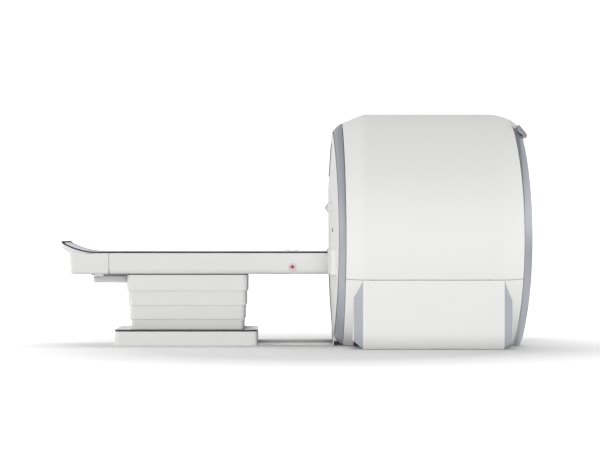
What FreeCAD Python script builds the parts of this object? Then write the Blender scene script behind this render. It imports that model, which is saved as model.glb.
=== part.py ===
"""Whole-body MRI scanner with its docked patient table, in millimetres.

X runs along the bore, from the table's foot end to the back of the scanner. Z is up, from the floor.
The drum of covers is a body of revolution about the bore axis, standing on the floor.
"""
import FreeCAD, Part
import math
import os
import re
import Sketcher

Vector = FreeCAD.Vector
doc = FreeCAD.newDocument("mri_scanner")

# ---------------------------------------------------------------- driving sizes
SIZES = {
    # scanner covers
    "front_place": 321,  # X of the fascia at the bore axis
    "axis_height": 1000,
    "drum_radius": 1150,
    "cover_wall": 6,
    "seam_gap": 0.8,
    "overrun": 20,  # how far a cutting solid runs past what it cuts
    "floor_gap": 4,
    "ring_lead": 33,  # fascia to the start of the silver ring
    "ring_width": 96,
    "ring_start_drop": 175,
    "shoulder_drop": 84,
    "ring_bulge": 250,
    "shoulder_run": 239,
    "shoulder_blend": 200,
    "shoulder_turn": 22.8,  # slope of the ring's flank, in degrees
    "barrel_length": 1115,
    "tail_run": 263,
    "tail_blend": 500,
    "band_width": 79,
    "band_drop": 190,
    "seam_height": 621,
    "plan_bow": 6020,  # radius of the fascia in plan
    "side_bow": 10940,  # radius of the fascia from the side
    "ring_bow": 25900,
    "rear_bow": 11100,
    "box_lead": 224,
    "box_length": 1419,
    "chamfer_run": 78,
    "chamfer_depth": 105,
    "skirt_split": 2,
    # bore and magnet
    "bore_radius": 350,
    "liner_wall": 4,
    "flare_radius": 430,
    "flare_run": 220,
    "flare_lip": 15,
    "flare_lap": 4,
    "coil_wall": 12,
    "coil_gap": 2,
    "coil_slack": 1.5,
    "coil_inset": 20,
    "body_coil_inset": 300,
    "gradient_wall": 76,
    "magnet_wall": 445,
    "magnet_lead": 160,
    "magnet_length": 1500,
    "magnet_round": 60,
    "foot_inset": 90,
    "cold_sink": 4,
    "cold_flange_radius": 105,
    "cold_flange_tall": 24,
    "cold_barrel_radius": 62,
    "cold_barrel_tall": 90,
    "cold_motor_radius": 48,
    "cold_motor_tall": 60,
    "foot_width": 150,
    "foot_length": 100,
    "foot_spread": 470,
    "hoop_plate": 12,
    "hoop_inset": 230,
    "hoop_gap": 0.3,
    "hoop_hole_share": 0.28,  # hole radius over the ring's width
    "bridge_plate": 8,
    "bridge_half": 284,
    "bridge_web": 200,
    "bridge_lead": 9,
    "bridge_end": 30,
    # front details
    "pod_depth": 6,
    "pod_place": 570,
    "pod_width": 110,
    "pod_low": 1240,
    "pod_tall": 80,
    "pod_back": 100,
    "dial_offset": 25,
    "dial_radius": 18,
    "dial_proud": 12,
    "dial_sink": 10,
    "button_offset": 28,
    "button_radius": 9,
    "button_proud": 5,
    "button_sink": 6,
    "control_socket": 14,
    "display_low": 1570,
    "display_tall": 300,
    "display_half": 250,
    "display_proud": 12,
    "bezel_width": 14,
    "glass_sink": 2,
    "detail_back": 120,
    "jack_place": 700,
    "jack_radius": 17,
    "jack_rise": 66,
    "jack_proud": 10,
    "slot_rise": 108,
    "slot_tall": 10,
    "slot_long": 260,
    "slot_lead": 95,
    "slot_proud": 16,
    "yoke_low": 655,
    "yoke_top": 890,
    "yoke_half": 880,
    "yoke_proud": 7,
    "yoke_setback": 23,
    "yoke_corner": 30,
    "yoke_corner_run": 25,
    "channel_half": 396,
    "channel_deep": 53,
    "rail_half": 500,
    "rail_crest_lead": 6,  # the grab rail's four corners: place from the band or back, and drop from the top
    "rail_crest_drop": 127,
    "rail_tip_gap": 1,
    "rail_tip_drop": 206,
    "rail_heel_gap": 4,
    "rail_heel_drop": 243,
    "rail_root_lead": 12,
    "rail_root_drop": 178,
    "duct_half": 310,
    "duct_top_half": 290,
    "duct_tall": 22,
    # patient table
    "table_top": 866,
    "table_half": 370,
    "table_wall": 5,
    "cover_length": 2046,
    "dock_gap": 31,
    "foot_length_x": 350,
    "lip_reach": 93,
    "lip_rise": 99,
    "lip_bow": 625,
    "lip_bend": 108,
    "lip_tall": 26,
    "foot_corner": 90,
    "trough_lip": 16,
    "trough_clear": 6,
    "rim_tall": 12,
    "trough_half": 284,
    "cover_bottom": 659,
    "edge_roll": 45,
    "frame_low": 665,
    "frame_tall": 35,
    "frame_half": 332,
    "rail_drop": 60,
    "rail_overhang": 88,
    "nose_wall": 6,
    "guide_place": 200,
    "guide_width": 40,
    "guide_flange": 12,
    "window_edge": 20,
    "window_rib": 60,
    "window_floor": 8,
    "window_side": 30,
    "board_overhang": 118,  # board past the foot seam
    "board_setback": 14,
    "board_lip": 12,
    "board_bevel": 35,
    "carriage_setback": 120,
    "carriage_long": 160,
    "carriage_half": 140,
    "socket_long": 60,
    "socket_wide": 36,
    "socket_inset": 8,
    "socket_first": 430,
    "socket_pitch": 80,
    "socket_sink": 13,
    "socket_rise": 14,
    "board_half": 265,
    "board_thick": 24,
    "board_edge": 52,
    "run_gap": 0.5,
    "pulley_radius": 30,
    "belt_thick": 3,
    "belt_width": 25,
    "axle_radius": 8,
    "axle_fit": 0.05,
    "wheel_rim": 3,
    "belt_clear": 9,
    "belt_slack": 0.3,
    "idler_inset": 74,
    "drive_inset": 40,
    # lift
    "plinth_length": 1308,
    "plinth_half": 390,
    "plinth_tall": 130,
    "plinth_wall": 6,
    "plinth_floor": 10,
    "plinth_lead": 90,
    "plinth_corner": 40,
    "base_rim_tall": 18,
    "base_rim_lap": 4,
    "base_rim_well": 30,
    "stage_step": 12,
    "stage_wall": 4,
    "stage_gap": 0.4,
    "stage_lap": 20,
    "stage_lip": 8,
    "stage_back": 771,  # from the table's head end
    "stage_one_tall": 90,
    "stage_two_tall": 130,
    "stage_three_tall": 136,
    "top_stage_length": 1113,
    "top_stage_half": 320,
    "stage_corner": 45,
    "sub_plate": 13,
    "sub_half": 325,
    "sub_length": 1441,
    "housing_half": 130,
    "housing_neck": 80,
    "housing_drop": 77,
    "housing_shoulder": 12,
    "housing_gap": 6,
    "latch_lead": 34,
    "latch_long": 81,
    "latch_inset": 30,
    "latch_overhang": 28,
    "latch_round": 9,
    "latch_thick": 11.6,
    "latch_gap": 0.4,
    "latch_pin": 5,
    "latch_pin_reach": 8,
    "column_half": 90,
    "column_wall": 9.6,
    "column_gap": 0.4,
    "column_tall": 290,
    "middle_rise": 175,
    "inner_lap": 8,
    "inner_wall": 8,
    "column_corner": 12,
    "column_corner_step": 4,
    "column_inside_corner": 2,
    "column_spread": 275,
    "estop_place": 351,
    "estop_height": 726,
    "estop_outer": 39,
    "estop_button": 15,
    "estop_thick": 10,
    "estop_sink": 6,
    "estop_long": 16,
    "press_fit_gap": 0.1,
}

sheet = doc.addObject("Spreadsheet::Sheet", "Sizes")
for row, (alias, value) in enumerate(SIZES.items(), start=1):
    sheet.set("A%d" % row, alias)
    sheet.set("B%d" % row, str(value))
    sheet.setAlias("B%d" % row, alias)
doc.recompute()

# places that follow from the sizes, as expressions
PLACES = {
    "ring_place": "front_place + ring_lead",
    "shell_place": "ring_place + ring_width",
    "barrel_place": "shell_place + shoulder_run",
    "tail_place": "barrel_place + barrel_length",
    "cover_reach": "drum_radius + 5 * overrun",
    "far": "4 * drum_radius",
    "flank_place": "barrel_place - shoulder_blend * sin(shoulder_turn * 1deg)",
    "flank_drop": "shoulder_blend * (1 - cos(shoulder_turn * 1deg))",
    "band_place": "tail_place + tail_run",
    "back_place": "band_place + band_width",
    "side_half": "sqrt(drum_radius ^ 2 - (axis_height - seam_height) ^ 2)",
    "tail_drop": "tail_blend - sqrt(tail_blend ^ 2 - tail_run ^ 2)",
    "box_place": "front_place + box_lead",
    "coil_inner": "bore_radius + liner_wall + coil_gap",
    "gradient_inner": "coil_inner + coil_wall + coil_gap",
    "magnet_inner": "gradient_inner + gradient_wall + coil_gap",
    "magnet_outer": "magnet_inner + magnet_wall",
    "magnet_place": "front_place + magnet_lead",
    "magnet_back": "magnet_place + magnet_length",
    "channel_back": "front_place + channel_deep",
    "head_place": "channel_back - dock_gap",
    "foot_seam": "head_place - cover_length",
    "foot_place": "foot_seam - foot_length_x",
    "rail_top": "table_top - rail_drop",
    "frame_top": "frame_low + frame_tall",
    "belt_height": "frame_top + pulley_radius + belt_thick + belt_clear",
    "idler_place": "head_place - idler_inset",
    "drive_place": "foot_seam - drive_inset",
    "board_low": "rail_top + run_gap",
    "board_head": "head_place - board_setback",
    "board_tail": "foot_seam - board_overhang",
    "trough_floor": "rail_top - trough_clear",
    "cover_top": "table_top - rim_tall",
    "lip_tip": "foot_place - lip_reach",
    "sub_rear": "stage_front - sub_length",
    "belt_reach": "pulley_radius + belt_slack + belt_thick",
    "latch_place": "sub_rear + latch_lead",
    "latch_top": "sub_low - latch_gap",
    "estop_x": "head_place - estop_place",
    "stage_front": "head_place - stage_back",
    "stage_low": "plinth_tall + base_rim_tall",
    "stage_two_low": "stage_low + stage_one_tall",
    "stage_three_low": "stage_two_low + stage_two_tall",
    "stage_top_low": "stage_three_low + stage_three_tall",
    "sub_low": "frame_low - sub_plate",
    "plinth_front": "stage_front + plinth_lead",
    "column_middle_place": "stage_front - top_stage_length / 2",
}


def spell(text):
    """An expression with every place name written out in driving sizes."""
    text = str(text)
    while True:
        longer = re.sub(r"[a-z_]+", lambda word: "(%s)" % PLACES[word[0]] if word[0] in PLACES else word[0], text)
        if longer == text:
            return re.sub(r"[a-z_]+", lambda word: "Sizes." + word[0] if word[0] in SIZES else word[0], text)
        text = longer


def number(text):
    """The present value of an expression."""
    return float(sheet.evalExpression(spell(text)))


def bind(item, name, text):
    item.setExpression(name, spell(text))


# ---------------------------------------------------------------- building helpers
pieces = []


def piece(item, label):
    """Marks an object as one sub-part that gets a file of its own."""
    item.Label = label
    pieces.append(item)
    return item


def block(name, low, high):
    """A Part::Box between two corners that are given as expressions."""
    item = doc.addObject("Part::Box", name)
    for side, axis, a, b in zip(("Length", "Width", "Height"), "xyz", low, high):
        bind(item, side, "(%s) - (%s)" % (b, a))
        bind(item, "Placement.Base." + axis, a)
    return item


TURNS = {
    "x": FreeCAD.Rotation(Vector(0, 1, 0), 90),
    "y": FreeCAD.Rotation(Vector(1, 0, 0), -90),
    "z": FreeCAD.Rotation(),
}


def rod(name, axis, start, radius, length):
    """A Part::Cylinder from a start point along an axis."""
    item = doc.addObject("Part::Cylinder", name)
    item.Placement = FreeCAD.Placement(Vector(), TURNS[axis])
    for letter, text in zip("xyz", start):
        bind(item, "Placement.Base." + letter, text)
    bind(item, "Radius", radius)
    bind(item, "Height", length)
    return item


def cut(name, base, tool):
    item = doc.addObject("Part::Cut", name)
    item.Base = base
    item.Tool = tool
    return item


def common(name, *shapes):
    item = doc.addObject("Part::MultiCommon", name)
    item.Shapes = list(shapes)
    return item


def fuse(name, *shapes):
    item = doc.addObject("Part::MultiFuse", name)
    item.Shapes = list(shapes)
    return item


def group(name, *shapes):
    """Several separate solids that share one node."""
    item = doc.addObject("Part::Compound", name)
    item.Links = list(shapes)
    return item


def plane_of(body, role):
    return next(o for o in body.Origin.OriginFeatures if o.Role == role)


def draw(body, role, loops, shift=("0", "0", "0")):
    """A sketch on one of the body's origin planes.

    A loop is a list of corners (a, b), or (a, b, r) where an arc of radius r starts; r below zero turns clockwise.
    """
    sketch = body.newObject("Sketcher::SketchObject", body.Name + "_sketch")
    sketch.AttachmentSupport = [(plane_of(body, role), "")]
    sketch.MapMode = "FlatFace"
    for axis, text in zip("xyz", shift):
        bind(sketch, "AttachmentOffset.Base." + axis, text)
    for loop in loops:
        if loop[0] == "circle":
            add_circle(sketch, loop)
        else:
            add_loop(sketch, loop)
    return sketch


def add_circle(sketch, loop):
    """A circle given as ("circle", a, b, radius)."""
    a, b, radius = (number(text) for text in loop[1:])
    index = sketch.addGeometry(Part.Circle(Vector(a, b, 0), Vector(0, 0, 1), radius))
    hold(sketch, "DistanceX", (-1, 1, index, 3), a, loop[1])
    hold(sketch, "DistanceY", (-1, 1, index, 3), b, loop[2])
    hold(sketch, "Radius", (index,), radius, loop[3])


def hold(sketch, kind, ends, value, text):
    """A dimension that follows the sheet."""
    index = sketch.addConstraint(Sketcher.Constraint(kind, *ends, value))
    if re.search("[a-z]", str(text)):
        sketch.setExpression("Constraints[%d]" % index, spell(text))


def add_loop(sketch, loop):
    corners = [Vector(number(c[0]), number(c[1]), 0) for c in loop]
    first = sketch.GeometryCount
    starts, ends = [], []
    for i, corner in enumerate(loop):
        a, b = corners[i], corners[(i + 1) % len(loop)]
        index = first + i
        if len(corner) == 2:
            sketch.addGeometry(Part.LineSegment(a, b))
            starts.append((index, 1))
            ends.append((index, 2))
            continue
        radius = number(corner[2])
        sketch.addGeometry(arc_between(a, b, radius))
        starts.append((index, 1 if radius > 0 else 2))
        ends.append((index, 2 if radius > 0 else 1))
    for i in range(len(loop)):
        sketch.addConstraint(Sketcher.Constraint("Coincident", *ends[i - 1], *starts[i]))
    for i, corner in enumerate(loop):
        hold(sketch, "DistanceX", (-1, 1, *starts[i]), corners[i].x, corner[0])
        hold(sketch, "DistanceY", (-1, 1, *starts[i]), corners[i].y, corner[1])
        if len(corner) == 3:
            size = abs(number(corner[2]))
            text = corner[2] if number(corner[2]) > 0 else "0 - (%s)" % corner[2]
            hold(sketch, "Radius", (first + i,), size, text)


def arc_between(a, b, radius):
    """The short arc from a to b, counterclockwise where the radius is positive."""
    middle = (a + b) * 0.5
    half = (b - a).Length / 2
    rise = math.sqrt(max(radius * radius - half * half, 0))
    left = Vector(-(b - a).y, (b - a).x, 0).normalize()
    centre = middle + left * (rise if radius > 0 else -rise)
    angles = [math.atan2(p.y - centre.y, p.x - centre.x) for p in ((a, b) if radius > 0 else (b, a))]
    return Part.ArcOfCircle(Part.Circle(centre, Vector(0, 0, 1), abs(radius)), *angles)


def pad(name, role, loops, low, high):
    """A PartDesign body padded between two places along the sketch plane's normal."""
    body = doc.addObject("PartDesign::Body", name)
    start = "0 - (%s)" % high if role == "XZ_Plane" else low
    sketch = draw(body, role, loops, ("0", "0", start))
    feature = body.newObject("PartDesign::Pad", name + "_pad")
    feature.Profile = sketch
    bind(feature, "Length", "(%s) - (%s)" % (high, low))
    sketch.Visibility = False
    return body


def turn(name, role, loop, shift, axis, angle=360):
    """A PartDesign body of revolution about the sketch's own H_Axis or V_Axis."""
    body = doc.addObject("PartDesign::Body", name)
    sketch = draw(body, role, [loop], shift)
    feature = body.newObject("PartDesign::Revolution", name + "_turn")
    feature.Profile = sketch
    feature.ReferenceAxis = (sketch, [axis])
    feature.Midplane = True
    feature.Angle = angle
    return body


def about_bore(name, loop):
    """A ring or tube about the bore axis, from (place, radius) corners."""
    return turn(name, "XZ_Plane", loop, ("0", "axis_height", "0"), "H_Axis")


def tube(name, inner, outer, start, end):
    return about_bore(name, [(start, inner), (end, inner), (end, outer), (start, outer)])


def rounded(low_x, high_x, low_y, high_y, radius):
    """A rectangle with round corners, as a sketch loop."""
    return [
        ("%s + %s" % (low_x, radius), low_y),
        ("%s - (%s)" % (high_x, radius), low_y, radius),
        (high_x, "%s + %s" % (low_y, radius)),
        (high_x, "%s - (%s)" % (high_y, radius), radius),
        ("%s - (%s)" % (high_x, radius), high_y),
        ("%s + %s" % (low_x, radius), high_y, radius),
        (low_x, "%s - (%s)" % (high_y, radius)),
        (low_x, "%s + %s" % (low_y, radius), radius),
    ]


# ---------------------------------------------------------------- shapes that several covers share
def drum(name, inset, reach):
    """The solid drum of the covers, made smaller all round by inset and longer in front by reach."""
    edge = "drum_radius - (%s)" % inset
    return about_bore(name, [
        ("ring_place - (%s)" % reach, "0"),
        ("back_place + overrun", "0"),
        ("back_place + overrun", "%s - band_drop - 1.5 * overrun" % edge),
        ("band_place", "%s - tail_drop" % edge, "tail_blend"),
        ("tail_place", edge),
        ("barrel_place", edge, "shoulder_blend"),
        ("flank_place", "%s - flank_drop" % edge),
        ("shell_place", "%s - shoulder_drop" % edge, "ring_bulge"),
        ("ring_place", "%s - ring_start_drop" % edge),
        ("ring_place - (%s)" % reach, "%s - ring_start_drop - (%s) * 1.5" % (edge, reach)),
    ])


SAG = "side_bow - sqrt(side_bow ^ 2 - cover_reach ^ 2)"
WIDE = 40  # degrees that a bowed face is swept through, well past the covers' sides


def dome(name, back_off, depth):
    """Solid behind a face that bows in plan and from the side, as the fascia does."""
    edge = "%s + %s - plan_bow" % (SAG, back_off)
    rear = "%s + %s - plan_bow" % (depth, back_off)
    loop = [(edge, "cover_reach", "side_bow"), (edge, "0 - cover_reach"), (rear, "0 - cover_reach"),
            (rear, "cover_reach")]
    return turn(name, "XZ_Plane", loop, ("front_place + plan_bow", "axis_height", "0"), "V_Axis", WIDE)


def bowed_limit(name, place, radius):
    """Everything ahead of a rear face that curves only from the side."""
    sag = "(%s) - sqrt((%s) ^ 2 - cover_reach ^ 2)" % (radius, radius)
    return pad(name, "XZ_Plane", [[
        ("0 - cover_reach", "axis_height - cover_reach"),
        ("%s - (%s)" % (place, sag), "axis_height - cover_reach", radius),
        ("%s - (%s)" % (place, sag), "axis_height + cover_reach"),
        ("0 - cover_reach", "axis_height + cover_reach"),
    ]], "0 - cover_reach", "cover_reach")


def bowed_seam(name, gap):
    """Everything behind the seam of the front ring, which bows in plan."""
    front, rear = "%s - ring_bow" % gap, "back_place - ring_bow"
    return turn(name, "XZ_Plane", [
        (front, "0 - cover_reach"), (front, "cover_reach"), (rear, "cover_reach"), (rear, "0 - cover_reach"),
    ], ("shell_place + ring_bow", "axis_height", "0"), "V_Axis", WIDE / 3)


def side_box(name, inset):
    """The tall box that widens the drum down to the floor, with its corners cut off."""
    half = "side_half - (%s)" % inset
    near = "box_place + (%s)" % inset
    far = "box_place + box_length - (%s)" % inset
    deep = "chamfer_depth"
    return pad(name, "XY_Plane", [[
        (near, "0 - (%s) + %s" % (half, deep)),
        ("%s + chamfer_run" % near, "0 - (%s)" % half),
        ("%s - chamfer_run" % far, "0 - (%s)" % half),
        (far, "0 - (%s) + %s" % (half, deep)),
        (far, "%s - %s" % (half, deep)),
        ("%s - chamfer_run" % far, half),
        ("%s + chamfer_run" % near, half),
        (near, "%s - %s" % (half, deep)),
    ]], "floor_gap", "seam_height - seam_gap / 2")


above_floor = block("above_floor", ("0 - far", "0 - far", "floor_gap"), ("far", "far", "far"))
drum_outer = drum("drum_outer", "0", "overrun / 10")
drum_core = drum("drum_core", "cover_wall", "3 * overrun")
drum_inside = drum("drum_inside", "cover_wall + seam_gap", "3 * overrun")
drum_skin = cut("drum_skin", drum_outer, drum_core)
dome_outer = dome("dome_outer", "0", "150")
dome_inner = dome("dome_inner", "cover_wall", "150")
dome_deep = dome("dome_deep", "0", "700")
ring_seam = bowed_seam("ring_seam", "0")
shell_seam = bowed_seam("shell_seam", "seam_gap")
shell_limit = bowed_limit("shell_limit", "band_place", "rear_bow")
band_limit = bowed_limit("band_limit", "band_place + seam_gap", "rear_bow")
back_limit = bowed_limit("back_limit", "back_place", "rear_bow")
inside_limit = bowed_limit("inside_limit", "back_place - cover_wall", "rear_bow")


# ---------------------------------------------------------------- magnet and coils
def magnet():
    piece(about_bore("magnet_vessel_body", [
        ("magnet_place", "magnet_inner"),
        ("magnet_back", "magnet_inner"),
        ("magnet_back", "magnet_outer - magnet_round", "magnet_round"),
        ("magnet_back - magnet_round", "magnet_outer"),
        ("magnet_place + magnet_round", "magnet_outer", "magnet_round"),
        ("magnet_place", "magnet_outer - magnet_round"),
    ]), "magnet_vessel")
    feet = []
    vessel = rod("foot_relief", "x", ("magnet_place", "0", "axis_height"), "magnet_outer", "magnet_length")
    for end, place in (("front", "magnet_place + foot_inset"), ("rear", "magnet_back - foot_inset - foot_length")):
        for side, near in (("left", "foot_spread - foot_width / 2"), ("right", "0 - foot_spread - foot_width / 2")):
            post = block("foot_%s_%s" % (end, side), (place, near, "0"),
                         ("%s + foot_length" % place, "%s + foot_width" % near, "axis_height - magnet_outer / 2"))
            feet.append(cut("foot_%s_%s_cut" % (end, side), post, vessel))
    piece(group("magnet_feet_group", *feet), "magnet_feet")
    top = "axis_height + magnet_outer"
    middle = "magnet_place + magnet_length / 2"
    head = fuse(
        "cold_head_parts",
        rod("cold_head_flange", "z", (middle, "0", "%s - cold_sink" % top), "cold_flange_radius",
            "cold_flange_tall"),
        rod("cold_head_barrel", "z", (middle, "0", "%s - cold_sink + cold_flange_tall" % top), "cold_barrel_radius",
            "cold_barrel_tall"),
        rod("cold_head_motor", "z", (middle, "0", "%s - cold_sink + cold_flange_tall + cold_barrel_tall" % top),
            "cold_motor_radius", "cold_motor_tall"),
    )
    piece(cut("cold_head_seat", head, vessel), "cold_head")
    start, end = "magnet_place + coil_inset", "magnet_back - coil_inset"
    piece(tube("gradient_coil_tube", "gradient_inner", "magnet_inner - seam_gap", start, end), "gradient_coil")
    piece(tube("rf_coil_tube", "coil_inner - coil_slack", "gradient_inner - seam_gap",
               "magnet_place + body_coil_inset", "magnet_back - body_coil_inset"), "rf_body_coil")


HOOP_HOLES = 16


def hoop(label, place):
    """A plate ring between vessel and covers, with a ring of lightening holes."""
    body = doc.addObject("PartDesign::Body", label + "_plate")
    sketch = draw(body, "YZ_Plane", [
        ("circle", "0", "axis_height", "drum_radius - cover_wall - hoop_gap"),
        ("circle", "0", "axis_height", "magnet_outer + hoop_gap"),
    ], ("0", "0", place))
    disc = body.newObject("PartDesign::Pad", label + "_disc")
    disc.Profile = sketch
    bind(disc, "Length", "hoop_plate")
    hole = draw(body, "YZ_Plane", [
        ("circle", "0", "axis_height + (magnet_outer + drum_radius) / 2", "(drum_radius - magnet_outer) * hoop_hole_share"),
    ], ("0", "0", place))
    pocket = body.newObject("PartDesign::Pocket", label + "_hole")
    pocket.Profile = hole
    pocket.Reversed = True
    bind(pocket, "Length", "hoop_plate")
    doc.recompute()
    axle = body.newObject("PartDesign::Line", label + "_axis")
    axle.AttachmentSupport = [(plane_of(body, "YZ_Plane"), "")]
    axle.MapMode = "ObjectZ"
    bind(axle, "AttachmentOffset.Base.y", "axis_height")
    pattern = body.newObject("PartDesign::PolarPattern", label + "_pattern")
    pattern.Originals = [pocket]
    pattern.Axis = (axle, [""])
    pattern.Angle = 360
    pattern.Occurrences = HOOP_HOLES
    body.Tip = pattern
    doc.recompute()
    piece(common(label + "_standing", body, above_floor), label)


def bore():
    piece(tube("liner_tube", "bore_radius", "bore_radius + liner_wall", "front_place + flare_run",
               "back_place - flare_run"), "bore_liner")
    inside = "sqrt(bore_radius ^ 2 - bridge_web ^ 2)"
    web_low = "axis_height - %s + run_gap" % inside
    deck_low = "rail_top - bridge_plate"
    piece(pad("bridge_section", "YZ_Plane", [[
        ("0 - bridge_half", "rail_top"),
        ("0 - bridge_half", deck_low),
        ("0 - bridge_web", deck_low),
        ("0 - bridge_web", web_low),
        ("bridge_plate - bridge_web", web_low),
        ("bridge_plate - bridge_web", deck_low),
        ("bridge_web - bridge_plate", deck_low),
        ("bridge_web - bridge_plate", web_low),
        ("bridge_web", web_low),
        ("bridge_web", deck_low),
        ("bridge_half", deck_low),
        ("bridge_half", "rail_top"),
    ]], "channel_back + bridge_lead", "back_place - bridge_end"), "bore_bridge")


# ---------------------------------------------------------------- covers
def flare(name, place, direction):
    """The round funnel at one end of the bore, and the solid cone that it fits in."""
    end = "%s + (%s) * flare_run" % (place, direction)
    lip = "%s - (%s) * flare_lip" % (place, direction)
    funnel = about_bore(name, [
        (lip, "flare_radius + flare_lap"),
        (end, "bore_radius + seam_gap"),
        (end, "bore_radius + liner_wall"),
        (lip, "flare_radius + flare_lap + liner_wall"),
    ])
    cone = about_bore(name + "_cone", [
        (lip, "0"), (end, "0"), (end, "bore_radius + liner_wall"), (lip, "flare_radius + flare_lap + liner_wall"),
    ])
    return funnel, cone


def front_covers():
    funnel, cone = flare("front_flare", "front_place", "1")
    channel = block("channel_space", ("front_place - 5 * overrun", "0 - channel_half", "0 - overrun"),
                    ("channel_back", "channel_half", "yoke_top"))
    skin = cut("fascia_skin", dome_outer, dome_inner)
    disc = common("fascia_disc", skin, drum_inside, above_floor)
    holed = cut("fascia_holed", disc, cone)
    funnel = common("front_funnel", funnel, dome_deep)
    face = cut("fascia_face", fuse("fascia_joined", holed, funnel), channel)
    piece(face, "front_fascia")
    tray = block("channel_tray", ("front_place - overrun", "0 - channel_half - cover_wall", "floor_gap"),
                 ("channel_back + cover_wall", "channel_half + cover_wall", "yoke_top"))
    ring = common("ring_band", drum_skin, dome_outer, above_floor)
    piece(cut("ring_open", cut("ring_trimmed", ring, ring_seam), tray), "front_ring")
    hollow = cut("channel_walls", tray, channel)
    clear = cut("channel_clear", common("channel_behind", hollow, dome_inner), cone)
    piece(clear, "dock_channel")


def side_covers():
    shell = common("shell_skin", drum_skin, shell_seam, shell_limit)
    for side, low, high in (("left", "seam_gap / 2", "far"), ("right", "0 - far", "0 - seam_gap / 2")):
        half = block("upper_half_" + side, ("0 - far", low, "seam_height + seam_gap / 2"), ("far", high, "far"))
        piece(common("upper_" + side, shell, half), "upper_shell_" + side)
    box_outer = side_box("box_outer", "0")
    box_core = side_box("box_core", "cover_wall")
    tall_core = common("box_core_tall", fuse("skirt_core", drum_core, box_core), above_floor)
    hide = cut("skirt_hide", fuse("skirt_outer", drum_outer, box_outer), tall_core)
    skirt = common("skirt_skin", hide, shell_seam, shell_limit)
    corner = cut("corner_space", box_outer, block(
        "corner_keep", ("box_place + chamfer_run", "0 - far", "0 - overrun"),
        ("box_place + box_length - chamfer_run", "far", "far")))
    outside = cut("corner_outside", corner, drum_outer)
    plates = cut("corner_plates", outside, box_core)
    piece(plates, "corner_trims")
    plain = cut("skirt_plain", skirt, outside)
    for side, low, high in (("left", "skirt_split", "far"), ("right", "0 - far", "0 - skirt_split")):
        half = block("skirt_half_" + side, ("0 - far", low, "floor_gap"), ("far", high, "seam_height - seam_gap / 2"))
        piece(common("skirt_cut_" + side, plain, half), "skirt_" + side)


def rear_covers():
    band = cut("band_skin", drum_skin, band_limit)
    piece(common("band_trimmed", band, back_limit, above_floor), "rear_ring")
    plate = cut("rear_plate", common("rear_slab", back_limit, drum_inside, above_floor), inside_limit)
    funnel, cone = flare("rear_flare", "back_place", "-1")
    funnel = common("rear_funnel", funnel, back_limit)
    piece(fuse("rear_joined", cut("rear_holed", plate, cone), funnel), "rear_cover")
    top = "axis_height + drum_radius"
    bar = pad("rear_bar", "XZ_Plane", [[
        ("band_place - rail_crest_lead", "%s - rail_crest_drop" % top),
        ("back_place - rail_tip_gap", "%s - rail_tip_drop" % top),
        ("back_place - rail_heel_gap", "%s - rail_heel_drop" % top),
        ("band_place - rail_root_lead", "%s - rail_root_drop" % top),
    ]], "0 - rail_half", "rail_half")
    piece(cut("rear_bar_seat", bar, common("rail_relief", drum_outer, back_limit)), "rear_top_rail")


def dome_place(across, height):
    """X of the fascia's face at a point, as an expression."""
    return "front_place + (%s) ^ 2 / (2 * plan_bow) + (%s) ^ 2 / (2 * side_bow)" % (across, height)


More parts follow.
